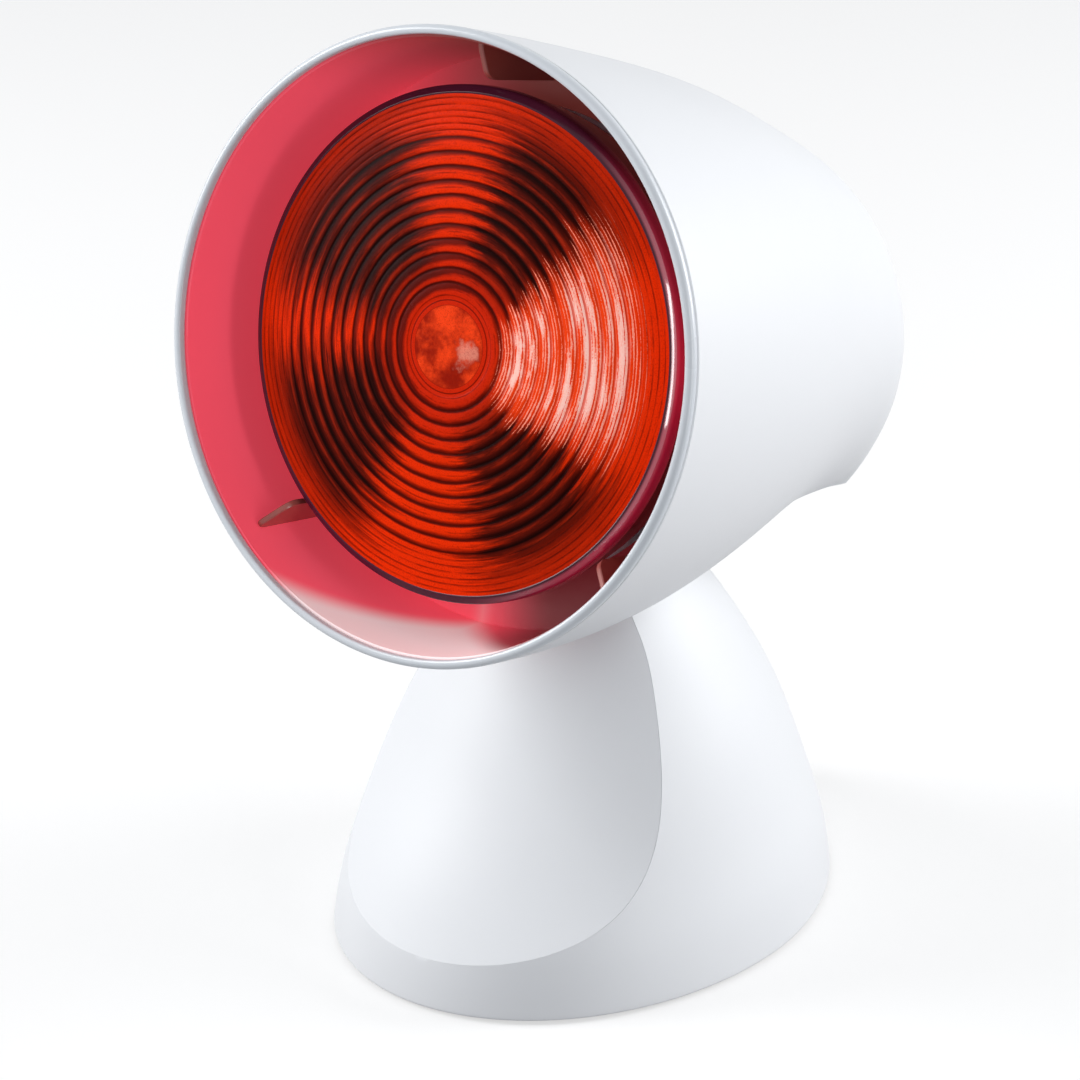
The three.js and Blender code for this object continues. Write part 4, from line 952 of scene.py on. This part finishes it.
# %% [markdown]
# ## Plain finishes
#
# Moulded plastic is never one flat colour: it has a faint mottle, a fine grain and a gloss that varies a
# little. One recipe builds that from noise in object coordinates, at the scale each material shows. The
# special finishes of the bulb and the liner are built on their own below.

# %% Finish recipe
finishes = {}


def finish(
    slot, name, base, other, scale, rough, swing, grain_scale, grain, metallic=0.0, coat=0.0, specular=0.5
):
    """Two close colours mixed by slow noise, gloss that swings with it, and a fine grain as bump."""
    material, tree, shader = new_material(name)
    place = Signal(node(tree, "ShaderNodeTexCoord").outputs["Object"])
    mottle = noise(place, scale, 4.0)
    wire(
        shader,
        Base_Color=mix(ramp(mottle, 0.3, 0.7), base, other),
        Roughness=ramp(mottle, 0.0, 1.0, rough - swing, rough + swing),
        Normal=bump(noise(place, grain_scale, 3.0), grain, 0.0001),
        Metallic=metallic,
        Specular_IOR_Level=specular,
        Coat_Weight=coat,
        Coat_Roughness=0.08,
    )
    finishes[slot] = material


# %% Mouldings
finish("housing_white", "housing_white", (0.83, 0.842, 0.862), (0.81, 0.824, 0.846), 14, 0.46, 0.05, 2600,
       0.10, specular=0.35)
finish("rim_grey", "rim_grey", (0.68, 0.71, 0.75), (0.64, 0.68, 0.72), 30, 0.28, 0.04, 2600, 0.10, coat=0.2)
finish("inner_grey", "inner_grey", (0.30, 0.32, 0.35), (0.26, 0.28, 0.31), 40, 0.5, 0.06, 1600, 0.3)
finish("black_plastic", "switch_black", (0.018, 0.018, 0.02), (0.028, 0.028, 0.03), 60, 0.3, 0.06, 2400, 0.25,
       coat=0.1)
# The fins' brownish red is painted light: the bulb's red glow on them, with painted shade.
finish("shade_rib", "fin_red_glow_shade", (0.30, 0.07, 0.06), (0.38, 0.09, 0.07), 50, 0.3, 0.05, 900, 0.1, coat=0.2)

# %% Metals
finish("mirror_glass", "mirror_glass", (0.70, 0.72, 0.75), (0.62, 0.64, 0.68), 40, 0.14, 0.05, 300, 0.08,
       metallic=0.95)
finish("brass", "brass_plain", (0.72, 0.56, 0.26), (0.60, 0.45, 0.20), 120, 0.32, 0.08, 1800, 0.2,
       metallic=1.0)
finish("steel", "zinc_steel", (0.60, 0.62, 0.64), (0.50, 0.52, 0.55), 160, 0.34, 0.09, 2200, 0.2,
       metallic=1.0)
finish("ballast_iron", "cast_ballast", (0.10, 0.10, 0.105), (0.06, 0.06, 0.06), 90, 0.75, 0.12, 900, 0.7,
       metallic=0.4)

# %% Porcelain, fibre and rubber
finish("ceramic_white", "porcelain", (0.82, 0.79, 0.72), (0.77, 0.74, 0.66), 60, 0.22, 0.06, 700, 0.12,
       coat=0.4)
finish("washer_grey", "washer_fibre", (0.16, 0.15, 0.14), (0.11, 0.10, 0.10), 300, 0.8, 0.1, 2500, 0.6)
finish("foot_rubber", "foot_rubber", (0.03, 0.03, 0.03), (0.05, 0.05, 0.05), 120, 0.82, 0.08, 1500, 0.5)
finish("lead_sleeve", "lead_sleeve", (0.72, 0.67, 0.56), (0.60, 0.55, 0.44), 900, 0.8, 0.08, 2800, 0.8)
print("plain finishes:", len(finishes))

# %% [markdown]
# ## Where the lens is
#
# The lens and the liner need a pattern that follows the head's axis. A Mapping node turns and moves the
# object coordinates into the head's frame, so that x runs across, y along the axis and z up. The
# distance from the axis and the angle round it then drive the patterns.


# %% Head coordinates in a material
def length_of(first, second):
    """The root of the sum of two squares."""
    return (first * first + second * second).math("SQRT")


def head_coordinates(tree):
    """The place in the head's frame, its x, station and height, and its radius and angle about the axis."""
    _, y, z = from_head(0.0, 0.0, 0.0)
    back, up = turned(y, z, -tilt)
    place = Signal(node(tree, "ShaderNodeTexCoord").outputs["Object"])
    mapping = node(
        tree, "ShaderNodeMapping", {"vector_type": "POINT"},
        Vector=place, Rotation=(tilt, 0, 0), Location=(0, -back, -up),
    )
    local = Signal(mapping.outputs[0])
    x, station, height = (Signal(out) for out in node(tree, "ShaderNodeSeparateXYZ", Vector=local).outputs)
    angle = height.math("ARCTAN2", x)
    return SimpleNamespace(
        place=local, x=x, station=station, height=height, radius=length_of(x, height), angle=angle
    )


def lobe(angle, centre, half, core=0.15):
    """One near an angle in degrees and nought half away: a smooth step of the cosine of the difference."""
    nearness = (angle - math.radians(centre)).math("COSINE")
    return rise(nearness, math.cos(math.radians(half)), math.cos(math.radians(half * core)))


def ring_noise(head, across, along, detail=3.0, rough=0.6, seed=0.0):
    """Noise drawn out round the axis: read at radius times across, and the angle's circle times along."""
    place = node(
        head.place.tree, "ShaderNodeCombineXYZ",
        X=head.radius * across,
        Y=head.angle.math("COSINE") * along,
        Z=head.angle.math("SINE") * along + seed,
    )
    return noise(Signal(place.outputs[0]), 1.0, detail, rough)


# %% [markdown]
# ## Ruby glass, and the painted fan of light in it
#
# The lens isn't evenly lit, and its light is painted into the colour. In the photo the ridges are bright
# on one side in a fan, which turns a little as it runs outwards and fades before the rim. An image would
# fix its size for good, and a smooth lobe of the angle does it at any distance.

# %% Lens: the fan
lens_material, tree, shader = new_material("lens_ruby")
head = head_coordinates(tree)
radius, angle = head.radius, head.angle
speckle = noise(head.place, 3000.0, 2.0, 0.75)
blotch = noise(head.place, 150.0, 4.0, 0.6)

fan_turn = rise(radius, 0.014, 0.046) * math.radians(-14.0)
late = (ring_noise(head, 560, 1.0, seed=19.0) - 0.5) * 0.5
# The fan is painted light: it brightens the ridges and eases the painted shade.
fan = lobe(angle + late + fan_turn, -1.0, 45, 0.1) * rise(radius, 0.0125, 0.020) * fall(radius, 0.045, 0.058)
print("fan of light set out")

# %% [markdown]
# ## Painted shade in the grooves between the ridges
#
# Each ridge starts with a thin dark line and ends in a soft shade, both painted shade of the ridge's
# relief, and the shade is wider round the left of the disc. The phase counts ridges along the radius, with a
# slow wobble, because pressed glass is never quite round. Finer painted lines of shade run near the rim,
# and two thin ones edge the disc.

# %% Lens: the grooves
wobble = (ring_noise(head, 180, 2.5, seed=3.0) - 0.5) * 0.00070
ridge_place = (radius + wobble - disc_radius) / broad_pitch
phase = (ridge_place + 0.07).math("FRACT")
line = 1.0 - rise(phase, 0.14, 0.29) * fall(phase, 0.985, 1.0)
near_disc = fall(radius, 0.019, 0.032)
widened = phase + near_disc * lobe(angle, 158.0, 110) * 0.34 + (ring_noise(head, 900, 4.0) - 0.5) * 0.30
shade_side = rise(widened, 0.66, 0.98) * 0.88
second = fall((phase - 0.60).math("ABSOLUTE"), 0.02, 0.09)
second = second * rise(ring_noise(head, 420, 3.0, 4.0, 0.7, seed=41.0), 0.44, 0.66)
# Painted shade: the dark line, the soft shaded side and the faint middle line of each ridge.
groove_shade = line.math("MAXIMUM", shade_side.math("MAXIMUM", second * 0.55))

fine_phase = ((radius - fine_from) / fine_pitch).math("FRACT")
fine_line = fall(fine_phase, 0.10, 0.44) * rise(ring_noise(head, 600, 5.0, 5.0, 0.7, seed=7.0), 0.30, 0.60)
in_fine = rise(radius, fine_from, fine_from + 0.0004)
groove_shade = groove_shade * (1.0 - in_fine) + fine_line * 0.72 * in_fine

in_disc = fall(radius, disc_radius - 0.0021, disc_radius - 0.0018)
by_disc = fall(radius, disc_radius + 0.0002, disc_radius + 0.0005)
disc_lines = fall((radius - (disc_radius - 0.0020)).math("PINGPONG", 0.00065), 0.00006, 0.00022)
groove_shade = (groove_shade * (1.0 - by_disc)).math("MAXIMUM", disc_lines * (by_disc * 0.8))
groove_shade = groove_shade * (1.0 - in_disc) * (1.0 - fan * 0.62)
print("grooves set out")

# %% [markdown]
# ## Painted shade in four quarters
#
# Four parts of the lens are darkened with painted shade, perhaps where the filament's supports shade it.
# They are lobes of the angle, ragged along the rings, that start past the disc, thin out at the rim and
# give way to the painted fan of light.

# %% Lens: the quarters
quarter_shade_at = ((60.0, 32, 0.97), (145.0, 40, 0.97), (221.0, 36, 0.97), (311.0, 30, 0.96))
uneven_angle = angle + (ring_noise(head, 620, 1.6, 5.0, 0.7, seed=11.0) - 0.5)
first, *others = [lobe(uneven_angle, centre, half, 0.40) * most for centre, half, most in quarter_shade_at]
quarter_shade = sum(others, start=first)
reach = rise(radius, 0.011, 0.026) * (1.0 - rise(radius, 0.050, 0.059) * 0.60)
quarter_shade = (quarter_shade * reach).math("MINIMUM", 1.0) * (1.0 - fan * 0.8)
print("dark quarters:", len(quarter_shade_at))

# %% [markdown]
# ## The reds
#
# The disc is a blotchy red with a painted pale glint, and the rings run from deep red to orange red
# outwards, and brighter in the painted fan of light. Fine dark grit lies over both. The painted shade of
# the grooves and quarters then darkens them, and in the dark quarters only the crests of the ridges keep
# some red, as painted light.

# %% Lens: the colours
# The glint is a painted highlight on the disc.
glint_across, glint_up = 0.0052, 0.0002
from_glint = length_of(head.x - glint_across, head.height - glint_up)
glint = fall(from_glint + (blotch - 0.5) * 0.020, 0.0, 0.0034)
middle_red = mix(rise(blotch, 0.34, 0.66), (0.24, 0.008, 0.002), (0.80, 0.050, 0.008))
middle_red = mix(glint * 0.55, middle_red, (0.92, 0.34, 0.24))
ring_red = mix(rise(radius, 0.014, 0.034), (0.52, 0.016, 0.002), (0.70, 0.024, 0.0010))
ring_red = mix(fan * 0.8, ring_red, (0.80, 0.052, 0.006))
bright = mix(in_disc, ring_red, middle_red)
bright = mix(rise(speckle, 0.50, 0.66) * (0.42 - fan * 0.3), bright, (0.30, 0.006, 0.001))
groove_shade_red = mix(rise(fan, 0.15, 0.6), (0.030, 0.0012, 0.0006), (0.34, 0.010, 0.002))
groove_shaded = mix(groove_shade * 0.93, bright, groove_shade_red)
crest = rise(phase, 0.24, 0.40) * fall(phase, 0.48, 0.72)
crest = crest * rise(ring_noise(head, 700, 3.0, 4.0, 0.7, seed=23.0), 0.36, 0.66)
quarter_shade_colour = mix(groove_shade, mix(crest, (0.040, 0.003, 0.0015), (0.22, 0.012, 0.003)), (0.006, 0.0006, 0.0004))
shaded = mix(quarter_shade, groove_shaded, quarter_shade_colour)
print("reds mixed")

# %% [markdown]
# ## Painted highlight strokes
#
# In the fan the ridges carry painted highlights: two pale strokes to a ridge, which swell and thin out
# with the light and break up at their edges. A little glow of the same colours, painted highlights and
# shade with it, keeps the glass alive, and a stipple tilts the normal so that no highlight is clean.

# %% Lens: the strokes
stroke_phase = (ridge_place + 0.02).math("PINGPONG", 0.25)
across_stroke = (stroke_phase * 4.0 - 0.45).math("ABSOLUTE")
cloud = rise(ring_noise(head, 330, 1.5, 3.0, 0.6, seed=31.0), 0.28, 0.66)
swell = fan * (cloud * 0.56 + 0.08)
swell = swell + (ring_noise(head, 1600, 9.0, 3.0, 0.6, seed=5.0) - 0.5) * 0.42 + (speckle - 0.5) * 0.55
# Painted highlight: pale strokes along the ridges in the fan.
painted_highlight = rise(swell - across_stroke, 0.0, 0.10) * rise(fan, 0.10, 0.30) * (1.0 - line * 0.8) * 0.92
highlight_colour = mix(rise(swell, 0.20, 0.65), (0.90, 0.24, 0.15), (0.93, 0.58, 0.50))
lit = mix(painted_highlight, shaded, highlight_colour)
wire(
    shader,
    Base_Color=lit, Emission_Color=lit, Emission_Strength=0.27,
    Roughness=0.30, Specular_IOR_Level=0.02, Normal=bump(speckle, 0.25, 0.0002),
)
print("lens finish made")

# %% [markdown]
# ## The bulb's shoulder
#
# Past the lens the red glass is thicker and reads as plum, and is painted magenta on the side where
# light comes through it. The gloss is a clear coat over the facet, and a narrow lamp in front of the lens
# gives it the thin bright line, so the line moves with the lamp.

# %% Shoulder material
edge_material, tree, shader = new_material("glass_shoulder")
head = head_coordinates(tree)
lit_side = lobe(head.angle, -8.0, 75) * rise(head.station, 0.0153, 0.0157)
plum = mix(noise(head.place, 38.0, 3.0), (0.030, 0.004, 0.012), (0.070, 0.007, 0.024))
plum = mix(lit_side, plum, (0.52, 0.020, 0.075))
wire(
    shader,
    Base_Color=plum, Emission_Color=plum, Emission_Strength=0.15,
    Roughness=0.2, Specular_IOR_Level=0.1,
    Coat_Weight=lit_side * 0.9 + 0.08, Coat_Roughness=0.06, Coat_IOR=2.1,
)
print("shoulder finish made")

# %% [markdown]
# ## The liner's painted glow and shade
#
# The liner's colour is painted light. A crimson glow from the bulb covers it, and it gives that glow off
# itself as a weak emission, though it is no lamp. It takes painted maroon and brown shade where it is in
# the shade at the right and the top, and a painted pale pink where daylight reaches it at the bottom of
# the rim. The pale part narrows to a point as it runs inwards, so its half angle falls with the station.

# %% Liner material
liner_material, tree, shader = new_material("liner_painted_glow")
head = head_coordinates(tree)
pale_middle, pale_half, pale_depth = math.radians(271.0), 0.56, 0.040
off_middle = (head.angle - pale_middle).math("COSINE").math("ARCCOSINE")
daylight_share = rise(pale_half - head.station * (pale_half / pale_depth) - off_middle, -0.06, 0.14)
# Painted light: the bulb's crimson glow, then painted shade, then painted daylight pink.
bulb_glow_red = mix(noise(head.place, 22.0, 2.0), (0.92, 0.088, 0.138), (0.97, 0.105, 0.158))
maroon_shade = mix(lobe(head.angle, 320.0, 50, 0.6), bulb_glow_red, (0.20, 0.018, 0.024))
brown_shade = mix(lobe(head.angle, 62.0, 73, 0.35), maroon_shade, (0.20, 0.036, 0.030))
glow_shade_daylight = mix(daylight_share, brown_shade, (0.84, 0.68, 0.68))
# The emission is painted light from the bulb, on a part that is no lamp.
wire(
    shader,
    Base_Color=glow_shade_daylight, Emission_Color=glow_shade_daylight, Emission_Strength=0.32,
    Roughness=0.42, Coat_Weight=0.05, Coat_Roughness=0.1,
)
print("liner finish made")

# %% [markdown]
# ## The mirrored bulb
#
# In the gap round the lens the photo shows only dark red, so the glass is ruby there. Further back it
# turns to a mirror, as a guess, because such bulbs have a mirror coating.

# %% Reflector material
reflector_material, tree, shader = new_material("ruby_mirror")
head = head_coordinates(tree)
to_mirror = rise(head.station, 0.046, 0.058)
ruby = mix(noise(head.place, 60.0, 3.0), (0.10, 0.008, 0.014), (0.22, 0.016, 0.026))
wire(shader, Base_Color=mix(to_mirror, ruby, (0.62, 0.62, 0.64)), Metallic=to_mirror, Roughness=0.16)
print("reflector finish made")

# %% [markdown]
# ## Dressing every piece
#
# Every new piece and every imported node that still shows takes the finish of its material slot, so that
# nothing is left plain. The fins, the lens's shoulder and the mirrored bulb have finishes of their own.


# %% Assign finishes
def dress(piece, material):
    """Gives a piece one material."""
    piece.data.materials.clear()
    piece.data.materials.append(material)


of_slot = {**finishes, "lens_red": lens_material, "shade_red": liner_material}
own = {lens_edge: edge_material, reflector: reflector_material, **dict.fromkeys(fins, finishes["shade_rib"])}
for piece, slot in slot_of.items():
    dress(piece, own.get(piece, of_slot[slot]))
for part in frame["record"]["subparts"]:
    packed, material = nodes[part["node"]], of_slot[part["material_slot"]]
    if not packed.material_slots:
        packed.data.materials.append(material)
    for material_slot in packed.material_slots:
        material_slot.material = material
print("dressed", len(slot_of), "new pieces and", len(nodes), "packed nodes")

# %% [markdown]
# ## Floor
#
# The floor takes part of its white from a glow that only the camera and reflections see, so that it
# stays white and still keeps the lamp's shadow. To other rays it is grey, or it would light the lamp
# from below and wash out its underside.


# %% Floor
def seen_rays(tree):
    """Two signals: one for the camera's rays alone, one for those and the rays of gloss and glass."""
    paths = node(tree, "ShaderNodeLightPath")
    kinds = ("Camera", "Glossy", "Transmission")
    straight, glossy, through = (Signal(paths.outputs[f"Is {kind} Ray"]) for kind in kinds)
    return straight, straight.math("MAXIMUM", glossy.math("MAXIMUM", through))


def mix_shaders(factor, first, second, output):
    """The first shader where the factor is nought, and the second where it is one, to the output."""
    both = node(factor.tree, "ShaderNodeMixShader")
    for socket, value in zip(both.inputs, (factor, Signal(first.outputs[0]), Signal(second.outputs[0]))):
        feed(socket, value)
    feed(output.inputs["Surface"], Signal(both.outputs[0]))


floor_half, glow_share = 4.0, 0.55
floor_points = floor_half * np.array([[-1, -1, 0], [1, -1, 0], [1, 1, 0], [-1, 1, 0]], dtype=float)
floor = make_piece("floor", floor_points, np.array([[0, 1, 2, 3]]))
floor_material, tree, shader = new_material("floor_white")
straight, seen = seen_rays(tree)
wire(
    shader,
    Base_Color=mix(straight, (0.30, 0.30, 0.31), (0.97, 0.97, 0.97)),
    Roughness=0.9, Specular_IOR_Level=0.1,
)
glow = node(tree, "ShaderNodeEmission", Color=(1, 1, 1, 1), Strength=1.06)
mix_shaders(seen * glow_share, shader, glow, tree.nodes["Material Output"])
dress(floor, floor_material)
print("floor laid")

# %% [markdown]
# ## World
#
# The world is a weak, cool fill for the lamp, and plain white for the camera and for reflections, which
# is how a white sweep behind a product looks.

# %% World
world = bpy.data.worlds.new("studio")
bpy.context.scene.world = world
world.use_nodes = True
tree = world.node_tree
fill = tree.nodes["Background"]
feed(fill.inputs["Color"], (0.90, 0.94, 1.0, 1))
feed(fill.inputs["Strength"], 0.36)
white = node(tree, "ShaderNodeBackground", Color=(1, 1, 1, 1), Strength=1.0)
_, seen = seen_rays(tree)
mix_shaders(seen, fill, white, tree.nodes["World Output"])
print("world set")

# %% [markdown]
# ## Lamps
#
# Two large softboxes stand to the left in front and to the right behind, so that the front of the base
# falls into a soft shade between them. A tall one at the right lifts the lower side, a narrow one in
# front draws the line on the bulb's shoulder, and a weak one hangs above.


# %% Lamps
def softbox(name, place, aim, width, height, power):
    """A rectangular lamp at a place, turned to face its aim."""
    data = bpy.data.lights.new(name, "AREA")
    data.shape = "RECTANGLE"
    data.size, data.size_y, data.energy = width, height, power
    lamp = link_piece(name, data)
    lamp.location = place
    direction = np.asarray(aim, dtype=float) - np.asarray(place, dtype=float)
    heading = math.atan2(direction[0], -direction[1])
    drop = math.atan2(math.hypot(direction[0], direction[1]), -direction[2])
    lamp.rotation_euler = (drop, 0, heading + math.pi)


middle_aim, lens_aim = (0, 0, 0.12), (0.06, -0.09, 0.13)
softbox("left_softbox", (-0.97, -0.64, 0.62), middle_aim, 0.6, 0.8, 13.3)
softbox("right_softbox", (0.84, 0.86, 0.60), middle_aim, 0.6, 0.8, 12.0)
softbox("right_fill", (1.03, -0.30, 0.24), lens_aim, 0.20, 0.8, 3.0)
softbox("front_strip", (0.553, -1.017, 0.43), lens_aim, 0.055, 0.7, 0.9)
softbox("top_softbox", (0.0, 0.2, 1.3), (0, 0, 0.1), 0.8, 0.8, 0.4)
bpy.context.scene.view_settings.view_transform = "Standard"
print("lamps:", len(bpy.data.lights))
